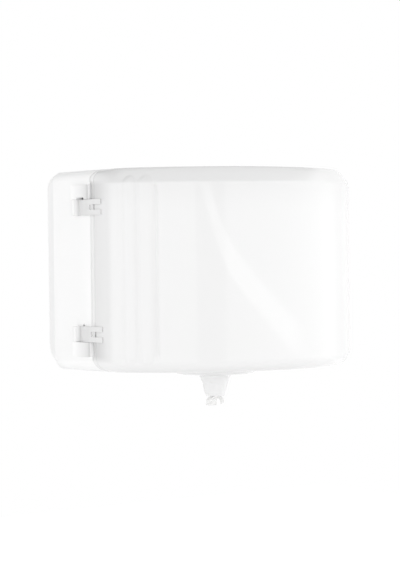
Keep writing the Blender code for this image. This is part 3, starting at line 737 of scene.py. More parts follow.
def rib_tree():
    tree, entry = start_tree("raised_ribs", {
        "Geometry": "Geometry", **dict.fromkeys(rib_sizes, "Float"), "Material": "Material"})
    along = add(tree, "GeometryNodeInputNamedAttribute", {"Name": "along_bow"}, data_type="FLOAT")
    length = formula(tree, ("MULTIPLY", along, MM))
    spot = add(tree, "GeometryNodeInputPosition")
    upright = add(tree, "ShaderNodeSeparateXYZ", {"Vector": spot}).outputs["Z"]
    height = formula(tree, ("ABSOLUTE", upright))
    slimness = entry["End Slimness"]
    cushions, fills = [], []
    for rib in ("1", "2"):
        half = entry["Half Width " + rib]
        straight = ("SUBTRACT", entry["End Height"], ("DIVIDE", half, slimness))
        corner = add(tree, "ShaderNodeCombineXYZ", {
            "X": formula(tree, ("SUBTRACT", length, entry["Centre " + rib])),
            "Y": formula(tree, ("MULTIPLY", ("MAXIMUM", ("SUBTRACT", height, straight), 0.0), slimness))})
        away = add(tree, "ShaderNodeVectorMath", {0: corner}, operation="LENGTH")
        share = ("MINIMUM", ("DIVIDE", away, half), 1.0)
        left = formula(tree, ("SUBTRACT", 1.0, ("POWER", share, 2.0)))
        cushions.append(("POWER", left, cushion_power))
        fills.append(("POWER", left, fill_power))
    off_groove = ("ABSOLUTE", ("SUBTRACT", length, entry["Groove Centre"]))
    aside = ("MINIMUM", ("DIVIDE", off_groove, entry["Groove Half Width"]), 1.0)
    dip = ("SUBTRACT", 1.0, ("POWER", aside, 2.0))
    below_edge = ("DIVIDE", ("SUBTRACT", entry["Edge Height"], height), groove_end_run)
    inside = ("MINIMUM", ("MAXIMUM", below_edge, 0.0), 1.0)
    raised = ("MULTIPLY", ("ADD", *cushions), entry["Rib Height"])
    sunk = ("MULTIPLY", dip, inside, entry["Groove Depth"], -1.0)
    lean = ("MULTIPLY", ("MAXIMUM", ("SUBTRACT", upright, entry["Edge Height"]), 0.0), entry["Edge Slope"])
    filled = ("MULTIPLY", ("ADD", *fills), lean)
    level = add(tree, "ShaderNodeVectorMath", {
        0: add(tree, "GeometryNodeInputNormal"), 1: (1.0, 1.0, 0.0)}, operation="MULTIPLY")
    outwards = add(tree, "ShaderNodeVectorMath", {0: level}, operation="NORMALIZE")
    push = add(tree, "ShaderNodeVectorMath", {
        0: outwards, "Scale": formula(tree, ("ADD", ("ADD", raised, sunk), filled))}, operation="SCALE")
    moved = add(tree, "GeometryNodeSetPosition", {"Geometry": entry["Geometry"], "Offset": push})
    return end_tree(tree, moved, entry["Material"])


run_tree(cover, rib_tree(), {**rib_sizes, "Material": cover_plastic})
print("ribs raised on", len(cover.data.vertices), "points")
give_wall(cover)

# %% [markdown]
# ## Round pieces and flat ones
# Pins, screws, the lock, the dish and the nozzle are turned: a profile spun about an axis. Nuts,
# bosses and clips are slabs: an outline with a thickness. Real pieces never have knife edges, so a
# small function first rounds the corners of an outline. Holes are cut with spun or flat cutters,
# which reach a little past the piece.

# %% Helpers for profiles and outlines
past = 1 * MM


def around(radius, angle, centre=(0.0, 0.0)):
    """Point on a circle."""
    return centre[0] + radius * math.cos(angle), centre[1] + radius * math.sin(angle)


def rectangle(near, far):
    """Outline of a rectangle between two opposite corners."""
    return [(near[0], near[1]), (far[0], near[1]), (far[0], far[1]), (near[0], far[1])]


def rounded(points, radii, steps=4, closed=True):
    """Rounds the corners of an outline with short arcs; radii are in mm, one for all or a list."""
    radii = [radius * MM for radius in (radii if isinstance(radii, list) else [radii] * len(points))]
    result = []
    count = len(points)
    for i, point in enumerate(points):
        here = Vector(point)
        before, after = Vector(points[i - 1]) - here, Vector(points[(i + 1) % count]) - here
        if radii[i] <= 0 or (not closed and i in (0, count - 1)):
            result.append(here)
            continue
        angle = before.angle(after)
        reach = min(radii[i] / math.tan(angle / 2), 0.45 * before.length, 0.45 * after.length)
        start, end = here + before.normalized() * reach, here + after.normalized() * reach
        for k in range(steps + 1):
            t = k / steps
            result.append(start * (1 - t) ** 2 + here * 2 * t * (1 - t) + end * t ** 2)
    return result


def faces_between(low, high):
    """Corners of the faces between two rings of equal length; a single point counts as a pole."""
    count = max(len(low), len(high))
    for i in range(count):
        j = (i + 1) % count
        corners = (low[i % len(low)], low[j % len(low)], high[j % len(high)], high[i % len(high)])
        yield list(dict.fromkeys(corners))


def spun(profile, steps, centre, axis="Z"):
    """Spins a closed (radius, height) profile; points at radius 0 become poles."""
    edit = bmesh.new()
    rings = []
    for radius, height in profile:
        count = steps if radius > 1e-7 else 1
        rings.append([edit.verts.new((*around(radius, TURN * i / steps), height)) for i in range(count)])
    for low, high in zip(rings, rings[1:] + rings[:1]):
        for corners in faces_between(low, high):
            if len(corners) > 2:
                edit.faces.new(corners)
    bmesh.ops.recalc_face_normals(edit, faces=edit.faces)
    if axis != "Z":
        turn = {"X": (TURN / 4, 3, "Y"), "Y": (-TURN / 4, 3, "X")}[axis]
        bmesh.ops.rotate(edit, verts=edit.verts, cent=(0, 0, 0), matrix=Matrix.Rotation(*turn))
    bmesh.ops.translate(edit, verts=edit.verts, vec=centre)
    return edit


def slab(outline, low, high, axis="Z"):
    """Extrudes a flat outline. The outline's plane is XY for Z, and YZ for X."""
    edit = bmesh.new()
    bottom, top = ([edit.verts.new((p[0], p[1], h) if axis == "Z" else (h, p[0], p[1])) for p in outline]
                   for h in (low, high))
    for corners in faces_between(bottom, top):
        edit.faces.new(corners)
    edit.faces.new(bottom[::-1])
    edit.faces.new(top)
    bmesh.ops.recalc_face_normals(edit, faces=edit.faces)
    return edit


def drill(item, radius, low, high, centre, steps, axis="Z"):
    """Cuts a plain round hole between two heights along its axis."""
    return cut(item, spun(rectangle((0, low), (radius, high)), steps, centre, axis))


def joined(name, items):
    """Joins several solids of one moulding into one object."""
    edit = bmesh.new()
    for item in items:
        edit.from_mesh(item.data)
    whole = mesh_object(name, edit, items[0].data.materials[0])
    for item in items:
        bpy.data.objects.remove(item)
    return whole


# %% [markdown]
# ## The lock's place in the cover
# On the right side, away from the hinge, a small cylinder lock holds the cover shut. Its hole is cut
# now, before the cover is shaded, and the lock is made further down.

# %% Cut the lock hole and hand the cover over
lock_y = -114 * MM
lock_body_radius = 7 * MM
lock_cut = 20 * MM
clearance = 0.3 * MM
drill(cover, lock_body_radius + clearance, -lock_cut, lock_cut, (half_width, lock_y, 0), 64, "X")
shade(cover, 50)
hand_over(cover, "cover", "cover_plastic", "front_cover")

# %% [markdown]
# ## The rear casing
# The casing is the same skin seen from the other end: its rows run from one parting line round the
# back to the other. Each rear corner starts with a flat strip, whose front edge stays crisp, and the
# gap between casing and cover widens a little where their line curls over at the top. The floor has
# a round passage for the dish, the back has four screw holes with a small countersink, and both are
# cut after the wall has been given its thickness.

# %% Casing grid
curl_gap = 0.8 * MM
curl_gap_height = 86 * MM
curl_gap_reach = 7 * MM
side_columns = 4
rear_columns = 16
rear_rounding_rows = 16
rear_top_rows = 14


def casing_half(level):
    """Places of one row, from the right parting line to the middle of the back."""
    high = (skin_point(on_side(parting_y), level).z - curl_gap_height) / curl_gap_reach
    first = parting_place(level, parting_gap + curl_gap * max(0.0, 1 - high ** 2))
    run = -rear_radius - first[1]
    places = [first] + [on_side(first[1] + run * i / side_columns) for i in range(1, side_columns)]
    turns = [rear_strip + (1 - rear_strip) * i / rear_columns for i in range(rear_columns + 1)]
    return places + [on_rear_corner(share) for share in [0.0] + turns] + [(0.0, 0.0, 0.0, 1.0, -1.0)]


casing_levels = [("bottom", 1 - i / rear_rounding_rows) for i in range(rear_rounding_rows + 1)]
casing_levels += [("wall", share) for share in (0.1, 0.5, 0.9, 1.0)]
casing_levels += [("top", i / rear_top_rows) for i in range(1, rear_top_rows + 1)]
casing_rows = []
for level in casing_levels:
    half = casing_half(level)
    whole = half + [mirrored(place) for place in half[-2::-1]]
    casing_rows.append([skin_point(place, level) for place in whole])
casing = give_wall(mesh_object("rear_casing_skin", grid_skin(casing_rows, True, True), casing_plastic))

# %% Casing holes
passage_radius = 44 * MM
floor_cut = 3.3 * MM
screw_cut = 10 * MM
wall_hole_radius = 2.75 * MM
screw_hole_radius = 1.9 * MM
shelf_screw_places = [(x * MM, y * MM) for x in (-87, 87) for y in (-42, -86)]
wall_hole_places = [(x * MM, z * MM) for x in (-70, 70) for z in (-48, 48)]
chamfer = 0.6 * MM


def flared_hole(radius, flare, near, far):
    """Profile of a hole that opens with a chamfer on its near side."""
    step = math.copysign(flare, far - near)
    start = near - step * 4
    return [(0, start), (radius + flare * 5, start), (radius, near + step), (radius, far), (0, far)]


cut(casing, spun(
    flared_hole(passage_radius, chamfer, -half_height, -half_height + floor_cut), 128, (0, outlet_y, 0)))
for x, z in wall_hole_places:
    cut(casing, spun(flared_hole(wall_hole_radius, chamfer, 0.0, -screw_cut), 40, (x, 0, z), "Y"))
for x, y in shelf_screw_places:
    cut(casing, spun(
        flared_hole(screw_hole_radius, chamfer / 2, -half_height, -half_height + screw_cut), 32, (x, y, 0)))


def on_strip_edge(spot):
    """The two upright lines where the rear corners' flat first strips begin."""
    return abs(abs(spot.x) - half_width) < 0.01 * MM and abs(spot.y + rear_radius) < 0.01 * MM


shade(casing, 45, crease=on_strip_edge)
print("casing faces:", len(casing.data.polygons))

# %% [markdown]
# ## Pivot bosses
# Above the upper clip and below the lower one the casing's side swells out to hold the hinge pins.
# Each boss rises slowly from the rear and swings down to the front in a quarter round. Beside the
# clip a small slot opens in it, and the casing's rim in front of it has a shallow notch.

# %% Bosses on the casing
clip_centre = 57.15 * MM
clip_height = 14.1 * MM
boss_height = 13.3 * MM
boss_proud = 6.6 * MM
boss_rear = 10.5 * MM
boss_front = 20.6 * MM
boss_steps = 18
pivot_y = -75.3 * MM
pivot_x = -half_width - 3.6 * MM
pin_radius = 1.25 * MM
pin_bore = pin_radius + clearance
boss_bore_depth = 12 * MM
slot_depth = 5 * MM
notch_rear = parting_y + 3.2 * MM
notch_front = parting_y - past
notch_depth = 0.9 * MM
well_outside = -half_width - 9 * MM
slot_corners = {
    1: ((-83.0 * MM, 64.2 * MM), (-91.5 * MM, 66.1 * MM)),
    -1: ((-82.0 * MM, -50.1 * MM), (-85.2 * MM, -48.6 * MM))}


def boss_outline():
    points = [(-half_width - boss_proud * eased(i / boss_steps), pivot_y + boss_rear * (1 - i / boss_steps))
              for i in range(boss_steps + 1)]
    for i in range(1, boss_steps + 1):
        angle = TURN / 4 * i / boss_steps
        points.append((-half_width - boss_proud * math.cos(angle), pivot_y - boss_front * math.sin(angle)))
    inside = -half_width + wall / 2
    return [(inside, pivot_y + boss_rear)] + points + [(inside, pivot_y - boss_front)]


bosses = []
for side in (1, -1):
    near = side * (clip_centre + clip_height / 2 + clearance / 2)
    low, high = sorted((near, near + side * boss_height))
    boss = soften(mesh_object("boss", slab(boss_outline(), low, high), casing_plastic), 0.2 * MM, degrees=50)
    drill(boss, pin_bore, near - side * 5 * past, near + side * boss_bore_depth, (pivot_x, pivot_y, 0), 32)
    for item in (boss, casing):
        cut(item, slab(rectangle(*slot_corners[side]), well_outside, -half_width + slot_depth, "X"))
    bosses.append(shade(boss, 40))
    notch = rectangle((notch_rear, low), (notch_front, high))
    cut(casing, slab(notch, -half_width - past, -half_width + notch_depth, "X"))

# %% [markdown]
# ## Keeper for the lock
# The lock's cam turns up behind a small hook that is moulded on the inside of the casing. The hook
# reaches forward past the parting line, with a tooth at its tip.

# %% Keeper hook
keeper_low = 16.2 * MM
keeper_thick = 3 * MM
keeper_long = 38 * MM
tooth_y = -119.4 * MM
tooth_drop = 6 * MM
side_inner = half_width - wall
keeper_in = side_inner - 18.5 * MM
keeper_out = side_inner - 4.5 * MM
tooth_out = side_inner - 9.25 * MM
keeper_root = side_inner + wall / 2
keeper_front = tooth_y - keeper_thick
keeper_rear = keeper_front + keeper_long
arm_outline = rounded([
    (keeper_in, keeper_front), (keeper_out, keeper_front), (keeper_out, parting_y + wall),
    (keeper_root, parting_y + wall), (keeper_root, keeper_rear), (keeper_in, keeper_rear)],
    [1.5, 1.5, 1, 0, 0, 1.5])
tooth_outline = rounded(rectangle((keeper_in, keeper_front), (tooth_out, tooth_y)), 0.6)
arm = slab(arm_outline, keeper_low, keeper_low + keeper_thick)
tooth = slab(tooth_outline, keeper_low - tooth_drop, keeper_low + keeper_thick / 2)
keeper = [shade(soften(mesh_object("keeper", edit, casing_plastic), 0.35 * MM, 2)) for edit in (arm, tooth)]
casing = joined("rear_casing_shell", [casing] + bosses + keeper)
hand_over(casing, "casing", "casing_plastic", "rear_casing")

# %% [markdown]
# ## Hinge clips
# A clip is one moulding: a knuckle that turns on the pin, a thin web left by the groove in front of
# it, and a plate that ends in two fingers gripping the cover's side. Between the fingers the plate
# first steps down and then opens, so the inner end of the gap isn't a dark hole.

# %% One clip
knuckle_radius = 3.3 * MM
knuckle_steps = 24
plate_end = pivot_y - knuckle_radius - 35.9 * MM
taper_start = plate_end + 18 * MM
finger_width = 4.7 * MM
finger_length = 16 * MM
plate_thick = 2.5 * MM
web_thick = 0.9 * MM
step_thick = 0.8 * MM
step_length = 4.5 * MM
hinges = (("upper", 1), ("lower", -1))


def clip_plan():
    """Plan of a clip: the knuckle's round, the web under the groove, and the tapering plate."""
    inner = -half_width - clearance
    outer = inner - 2 * knuckle_radius
    points = [around(knuckle_radius, TURN / 2 * i / knuckle_steps, (pivot_x, pivot_y))
              for i in range(knuckle_steps + 1)]
    bend = rounded([
        (outer, pivot_y - 0.5 * MM), (outer, pivot_y - 3.6 * MM), (inner - web_thick, pivot_y - 5.2 * MM),
        (inner - web_thick, pivot_y - 8.8 * MM), (inner - plate_thick, pivot_y - 11 * MM),
        (inner - plate_thick, taper_start), (inner - 0.5 * MM, plate_end), (inner, plate_end)],
        [0, 2.4, 1, 1, 1.5, 8, 0, 0], 6, closed=False)
    return points + [(point.x, point.y) for point in bend]


def hinge_clip(name, side):
    middle = side * clip_centre
    low, high = middle - clip_height / 2, middle + clip_height / 2
    split = plate_end + finger_length
    clip = mesh_object(name, slab(clip_plan(), low, high), clip_plastic)
    gap = rectangle((plate_end - 4 * past, low + finger_width), (split, high - finger_width))
    mouth = rounded(gap, [0, 1, 1, 0])
    ahead = [(min(y, split - step_length), z) for y, z in mouth]
    cut(clip, slab(mouth, well_outside, -half_width - clearance - step_thick, "X"))
    cut(clip, slab(ahead, well_outside, -half_width + 3 * past, "X"))
    soften(clip, 0.45 * MM, 4, 50)
    drill(clip, pin_bore, low - past, high + past, (pivot_x, pivot_y, 0), 32)
    return shade(clip, 45)


for label, side in hinges:
    clip = hinge_clip("%s_fork_clip" % label, side)
    hand_over(clip, "cover", "clip_plastic", "%s_hinge_clip" % label)

# %% Hinge pins
for label, side in hinges:
    low, high = (corner[2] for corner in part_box("%s_hinge_pin" % label))
    profile = rounded(rectangle((0, low), (pin_radius, high)), [0, 0.35, 0.35, 0])
    pin = mesh_object("%s_steel_pin" % label, spun(profile, 40, (pivot_x, pivot_y, 0)), zinc_plating)
    shade(pin, 40, False)
    hand_over(pin, "casing", "plated_steel", "%s_hinge_pin" % label)

# %% [markdown]
# ## Shelf, dish, nozzle and nut
# The roll stands on a flat shelf. Under it a shallow dish hangs through the casing's floor, and the
# nozzle is held in the dish by a hexagonal nut. The dish and the nozzle show from outside, so their
# profiles get generous roundings, as a thin moulding has.

# %% Roll shelf
shelf_low = -half_height + wall + clearance
shelf_high = shelf_low + 3 * MM
shelf_inset = 13.5 * MM
shelf_rear = -30 * MM
shelf_opening = 35 * MM
shelf_corner_steps = 12
shelf_bow_steps = 40
seat_radius = screw_hole_radius + 1.4 * MM
seat_height = shelf_high - 1.8 * MM
screw_circle = 39 * MM


def shelf_outline():
    places = [on_side(y) for y in (shelf_rear, (shelf_rear + corner_y) / 2)]
    places += [on_corner(i / shelf_corner_steps) for i in range(shelf_corner_steps + 1)]
    places += [on_bow(half_bow * i / shelf_bow_steps) for i in range(1, shelf_bow_steps + 1)]
    half = [(p[0] - p[2] * shelf_inset, p[1] - p[3] * shelf_inset) for p in places]
    return half + [(-x, y) for x, y in half[-2::-1]]


shelf = mesh_object("roll_shelf_plate", slab(shelf_outline(), shelf_low, shelf_high), casing_plastic)
soften(shelf, 0.5 * MM, 2, 60)
dish_screw_places = [around(screw_circle, TURN * (i / 3 - 0.25), (0.0, outlet_y)) for i in range(3)]
drill(shelf, shelf_opening, shelf_low - past, shelf_high + past, (0.0, outlet_y, 0), 96)
for x, y in shelf_screw_places + dish_screw_places:
    profile = [
        (0, shelf_low - past), (screw_hole_radius, shelf_low - past), (screw_hole_radius, seat_height),
        (seat_radius, seat_height), (seat_radius, shelf_high + past), (0, shelf_high + past)]
    cut(shelf, spun(profile, 32, (x, y, 0)))
shade(shelf)
hand_over(shelf, "casing", "casing_plastic", "roll_shelf")

# %% Outlet dish
dish_low, dish_high = (corner[2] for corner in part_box("outlet_dish"))
dish_floor = dish_low + 2.5 * MM
dish_hole_depth = 7 * MM
neck_radius = 12.4 * MM
dish_profile = rounded([
    (36 * MM, dish_high), (42 * MM, dish_high), (42 * MM, -half_height), (40.15 * MM, dish_low + 3.7 * MM),
    (36.2 * MM, dish_low + 0.9 * MM), (32.5 * MM, dish_low), (neck_radius + clearance, dish_low),
    (neck_radius + clearance, dish_floor), (31.2 * MM, dish_floor), (36 * MM, dish_floor + 2.5 * MM)],
    [0.4, 0.4, 2, 2, 2, 2, 0.3, 0.3, 1.5, 1.5], 5)
dish = mesh_object("turned_outlet_dish", spun(dish_profile, 160, (0, outlet_y, 0)), cover_plastic)
for x, y in dish_screw_places:
    drill(dish, screw_hole_radius, dish_high - dish_hole_depth, dish_high + past, (x, y, 0), 32)
shade(dish, 30)
hand_over(dish, "casing", "cover_plastic", "outlet_dish")

# %% Tapered nozzle
nozzle_low, nozzle_neck_top = (corner[2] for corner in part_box("feed_nozzle"))
nozzle_top = dish_low - 0.05 * MM
nozzle_bore = 9.6 * MM
nozzle_mouth = 5.6 * MM
nozzle_profile = rounded([
    (nozzle_bore, nozzle_neck_top), (neck_radius, nozzle_neck_top), (neck_radius, nozzle_top),
    (14.6 * MM, nozzle_top), (14.5 * MM, nozzle_top - 2.2 * MM), (12.0 * MM, nozzle_top - 8.2 * MM),
    (10.0 * MM, nozzle_low + 3.0 * MM), (8.6 * MM, nozzle_low), (nozzle_mouth, nozzle_low),
    (nozzle_mouth, nozzle_low + 5.4 * MM), (nozzle_bore, nozzle_top - 3.6 * MM)],
    [0.3, 0.3, 0.2, 0.6, 2.5, 5, 3, 1.2, 0.5, 1, 2], 6)
nozzle = mesh_object("tapered_feed_nozzle", spun(nozzle_profile, 128, (0, outlet_y, 0)), nozzle_plastic)
shade(nozzle, 40, False)
hand_over(nozzle, "casing", "nozzle_plastic", "feed_nozzle")

# %% Ring nut
nut_low, nut_high = (corner[2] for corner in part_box("nozzle_ring_nut"))
ring_nut_across = 33 * MM


def hexagon(across, turn=0.0):
    """Corners of a hexagon, named by its width across the flats."""
    return [around(across / math.sqrt(3), turn + TURN * i / 6) for i in range(6)]


nut_outline = [(p.x, p.y + outlet_y) for p in rounded(hexagon(ring_nut_across), 2, 5)]
ring_nut = mesh_object("hexagonal_ring_nut", slab(nut_outline, nut_low, nut_high), casing_plastic)
soften(ring_nut, 0.5 * MM, degrees=60)
drill(ring_nut, neck_radius + clearance, nut_low - past, nut_high + past, (0, outlet_y, 0), 96)
shade(ring_nut)
hand_over(ring_nut, "casing", "casing_plastic", "nozzle_ring_nut")

# %% [markdown]
# ## Screws
# Seven cross-head screws of two lengths hold the shelf and the dish. One screw of each length is
# modelled with its recess, and a Geometry Nodes tree sets a copy on each point of a small mesh, each
# turned by its own amount, because no two screws stop at the same angle.

# %% One cross-head screw
screw_radius = 1.6 * MM
screw_head_radius = 3 * MM
screw_head_height = 1.5 * MM
recess_reach = 0.62
recess_depth = 0.8
recess_half = 0.32 * MM


def cross_head_screw(name, head_radius, length):
    """Screw that stands upright with the top of its head at height 0."""
    under = -screw_head_height
    tip = under - length
    profile = rounded([
        (0, tip), (screw_radius * 0.6, tip), (screw_radius, tip + 0.8 * MM), (screw_radius, under),
        (head_radius, under), (head_radius, -0.4 * MM), (0, 0)],
        [0, 0.2, 0.3, 0.1, 0.2, 0.5, 0], 3)
    screw = mesh_object(name, spun(profile, 28, (0, 0, 0)), zinc_plating)
    reach = head_radius * recess_reach
    for turn in (0, TURN / 4):
        blade = slab(rectangle((-reach, -recess_half), (reach, recess_half)), under * recess_depth, past)
        bmesh.ops.rotate(blade, verts=blade.verts, cent=(0, 0, 0), matrix=Matrix.Rotation(turn, 3, "Z"))
        cut(screw, blade)
    return shade(screw, weighted=False)


# %% Screw tree
def screw_tree():
    tree, entry = start_tree("set_screws", {
        "Geometry": "Geometry", "Screw": "Object", "Seed": "Int", "Material": "Material"})
    pattern = add(tree, "GeometryNodeObjectInfo", {"Object": entry["Screw"]})
    turn = add(tree, "FunctionNodeRandomValue", {
        "Min": 0.0, "Max": TURN / 4, "Seed": entry["Seed"]}, data_type="FLOAT")
    copies = add(tree, "GeometryNodeInstanceOnPoints", {
        "Points": entry["Geometry"], "Instance": pattern.outputs["Geometry"],
        "Rotation": add(tree, "ShaderNodeCombineXYZ", {"Z": turn})})
    return end_tree(tree, copies, entry["Material"])


set_screws_tree = screw_tree()
for label, places, length, seed in (
        ("shelf", shelf_screw_places, 4.6 * MM, 3), ("dish", dish_screw_places, 6 * MM, 8)):
    edit = bmesh.new()
    for x, y in places:
        edit.verts.new((x, y, shelf_high))
    screws = mesh_object("%s_screw_set" % label, edit, zinc_plating)
    pattern = cross_head_screw("pattern", screw_head_radius, length)
    run_tree(screws, set_screws_tree, {"Screw": pattern, "Seed": seed, "Material": zinc_plating})
    bpy.data.objects.remove(pattern)
    hand_over(screws, "casing", "plated_steel", *["%s_screw_%d" % (label, i + 1) for i in range(len(places))])

# %% [markdown]
# ## The lock
# The cylinder lock has a flanged housing through the cover's side, a hexagonal nut inside, and a
# barrel that turns with the key and carries the cam. The slot in the barrel's face is what the eye
# looks for, so it is cut with a wider, rounded mouth. The housing fills the nut's hole, which is
# therefore left out.

# %% Housing and barrel
lock_x = half_width + clearance
flange_out = 1.5 * MM
flange_radius = 9 * MM
barrel_radius = 5 * MM
barrel_neck = 3.2 * MM
barrel_hole = barrel_radius + clearance / 3
housing_end = -16.3 * MM
neck_end = housing_end - 3.1 * MM
housing_profile = rounded([
    (barrel_hole, housing_end), (lock_body_radius, housing_end), (lock_body_radius, 0),
    (flange_radius, 0), (flange_radius, flange_out), (barrel_hole, flange_out)],
    [0.1, 0.3, 0.1, 0.2, 0.7, 0.25])
lock_middle = (lock_x, lock_y, 0)
housing = mesh_object("flanged_lock_housing", spun(housing_profile, 72, lock_middle, "X"), nickel_plating)
shade(housing, weighted=False)
hand_over(housing, "cover", "lock_chrome", "lock_housing")

barrel_profile = rounded([
    (0, neck_end), (barrel_neck, neck_end), (barrel_neck, housing_end),
    (barrel_radius, housing_end), (barrel_radius, flange_out), (0, flange_out)],
    [0, 0.2, 0.1, 0.2, 0.3, 0])
barrel = mesh_object("turning_lock_barrel", spun(barrel_profile, 64, lock_middle, "X"), nickel_plating)
face_x = lock_x + flange_out
key_slot_depth = 5 * MM
slot_outline = rounded(rectangle((lock_y - 3.2 * MM, -0.8 * MM), (lock_y + 3.2 * MM, 0.8 * MM)), 0.4)
mouth_profile = [(0, -0.5 * MM), (2.2 * MM, -0.5 * MM), (2.9 * MM, 0.5 * MM), (0, 0.5 * MM)]
cut(barrel, slab(slot_outline, face_x - key_slot_depth, face_x + past, "X"))
cut(barrel, spun(mouth_profile, 48, (face_x, lock_y, 0), "X"))
shade(barrel, weighted=False)
hand_over(barrel, "lock", "lock_chrome", "lock_barrel")

# %% Nut, cam and cam screw
lock_nut_across = 17 * MM
cam_half = 4 * MM
cam_reach = 15 * MM
cam_hole_radius = 3.5 * MM
nut_outline = [(p.x + lock_y, p.y) for p in rounded(hexagon(lock_nut_across, TURN / 12), 0.8)]
nut_ends = [corner[0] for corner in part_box("lock_nut")]
lock_nut = mesh_object("lock_back_nut", slab(nut_outline, *nut_ends, "X"), zinc_plating)
shade(soften(lock_nut, 0.3 * MM, 2, 60))
hand_over(lock_nut, "cover", "plated_steel", "lock_nut")

cam_outline = rounded(
    rectangle((lock_y - cam_half, -cam_half), (lock_y + cam_reach, cam_half)), [3.9, 1.2, 1.2, 3.9], 8)
cam_ends = [corner[0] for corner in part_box("lock_cam")]
cam = soften(mesh_object("flat_lock_cam", slab(cam_outline, *cam_ends, "X"), zinc_plating), 0.25 * MM, 2, 60)
drill(cam, cam_hole_radius, -5 * past, 5 * past, (cam_ends[0], lock_y, 0), 48, "X")
shade(cam)
hand_over(cam, "lock", "plated_steel", "lock_cam")

cam_screw = cross_head_screw("cam_cross_screw", head_radius=4 * MM, length=8 * MM)
head_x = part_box("cam_screw")[0][0]
cam_screw.data.transform(Matrix.Translation((head_x, lock_y, 0)) @ Matrix.Rotation(-TURN / 4, 4, "Y"))
hand_over(cam_screw, "lock", "plated_steel", "cam_screw")

# %% [markdown]
# ## The roll
# A centre-pull roll is wound without a core and used from the inside out. Its ends aren't flat:
# each group of layers stands a little higher or lower than the next. The mesh carries that in
# rings, and the material adds the finer edges of the layers.

# %% Wound roll
roll_low, roll_high = (corner[2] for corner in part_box("paper_roll"))
roll_radius = 88.3 * MM
roll_bore = 30 * MM
ring_step = 2 * MM
side_rows = 16
bore_rows = 12
edge_drop = 1.2 * MM
end_drop = 0.75 * MM
side_dent = 0.25 * MM
bore_dent = 0.5 * MM


def roll_profile():
    count = int((roll_radius - roll_bore) / ring_step)
    top, bottom = [], []
    for i in range(count + 1):
        radius = roll_bore + (roll_radius - roll_bore) * i / count
        edge = edge_drop if i in (0, count) else 0.0
        wave = noise.noise((i * 0.9, 4.0, 0.0)) * 0.7 * MM
        top.append((radius, roll_high - end_drop - edge + wave))
        bottom.append((radius, roll_low + 0.2 * MM + edge * 0.4))
    outer, inner = [], []
    for k in range(1, side_rows):
        dent = side_dent * abs(noise.noise((k * 0.7, 9.0, 1.0)))
        outer.append((roll_radius - dent, roll_high + (roll_low - roll_high) * k / side_rows))
    for k in range(1, bore_rows):
        dent = bore_dent * abs(noise.noise((k * 1.3, 2.0, 7.0)))
        inner.append((roll_bore + dent, roll_low + (roll_high - roll_low) * k / bore_rows))
    return top + outer + bottom[::-1] + inner


roll = mesh_object("wound_tissue_roll", spun(roll_profile(), 160, (0, outlet_y, 0)), roll_tissue)
for vert in roll.data.vertices:
    if vert.co.z > roll_high - 5 * MM:
        vert.co.z += noise.noise(vert.co / (24 * MM)) * 0.25 * MM
shade(roll, 60, False)
hand_over(roll, "casing", "tissue_paper", "paper_roll")

# %% [markdown]
# ## The paper tail
# The sheet that is pulled through the nozzle gathers into a rope: it folds lengthwise and twists.
# The rope is a loft whose cross-section is a star of uneven folds, turned a little more at each
# step. At its end the folds open, and a torn corner of a single layer hangs beside it.

# %% Twisted rope
tail_low, tail_high = (corner[2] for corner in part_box("paper_tail"))
folds = 5
fold_points = 12
rope_steps = 110
rope_radius = 5.5 * MM
hang_shift = Vector((-2.9 * MM, 2.1 * MM, 0.0))
tail_turns = 2.6
fold_sizes = (0.78, 0.17, 0.06)
hang_start = 0.4 * MM
hang_run = 4.5 * MM
lean_gap = 4.2 * MM
lean_squeeze = 0.36
open_run = 5 * MM
open_spread = 0.04
mouth_squeeze = 0.06
squeeze_start = 1 * MM
squeeze_run = 3 * MM
torn_depth = 0.8 * MM


def fold_radius(angle, height):
    """Outline of the gathered sheet: rounded folds of uneven size."""
    wave = 0.5 + 0.5 * math.cos(folds * angle)
    uneven = noise.noise((math.cos(angle) * 1.3, math.sin(angle) * 1.3, height / (9 * MM)))
    return fold_sizes[0] + fold_sizes[1] * wave ** 0.7 + fold_sizes[2] * uneven


def rope_ring(step):
    """Points of the rope at a step from its torn end up to the roll's bore, against which it leans."""
    height = tail_low + (tail_high - tail_low) * step / rope_steps
    lean = eased((height - nozzle_neck_top) / (tail_high - nozzle_neck_top))
    aside = eased((nozzle_low + hang_start - height) / hang_run)
    centre = Vector((-(roll_bore - lean_gap) * lean, outlet_y, height)) + hang_shift * aside
    open_end = 1 - eased((height - tail_low) / open_run)
    squeezed = 1 - mouth_squeeze * eased((height - nozzle_low + squeeze_start) / squeeze_run)
    size = rope_radius * squeezed * (1 - lean_squeeze * lean) * (1 + open_spread * open_end)
    turn = TURN * tail_turns * step / rope_steps
    ring = []
    for k in range(folds * fold_points):
        angle = TURN * k / (folds * fold_points)
        radius = size * fold_radius(angle, height)
        ragged = 0.0 if step else abs(torn_depth * noise.noise((k * 0.5, 3.0, 0.0)))
        ring.append(centre + Vector((*around(radius, angle + turn), ragged)))
    return ring


edit = bmesh.new()
rope = [[edit.verts.new(point) for point in rope_ring(step)] for step in range(rope_steps + 1)]
for low_ring, high_ring in zip(rope, rope[1:]):
    for corners in faces_between(low_ring, high_ring):
        edit.faces.new(corners)
for ring, inward in ((rope[0], 1.6 * MM), (rope[-1], -0.5 * MM)):
    middle = sum((vert.co for vert in ring), Vector()) / len(ring) + Vector((0, 0, inward))
    tip = edit.verts.new(middle)
    for k in range(len(ring)):
        edit.faces.new((ring[k], ring[(k + 1) % len(ring)], tip))

# %% Torn corner of paper
scrap_top = nozzle_low + 2 * MM
scrap_low = tail_low + 0.8 * MM
scrap_rows = 12
scrap_columns = 8
scrap_thick = 0.12 * MM
scrap_curl = 0.4 * MM
scrap_crumple = 0.2 * MM
scrap_out = Vector((0.81, -0.59, 0.0))
scrap_face = Vector((0.59, 0.81, 0.0))


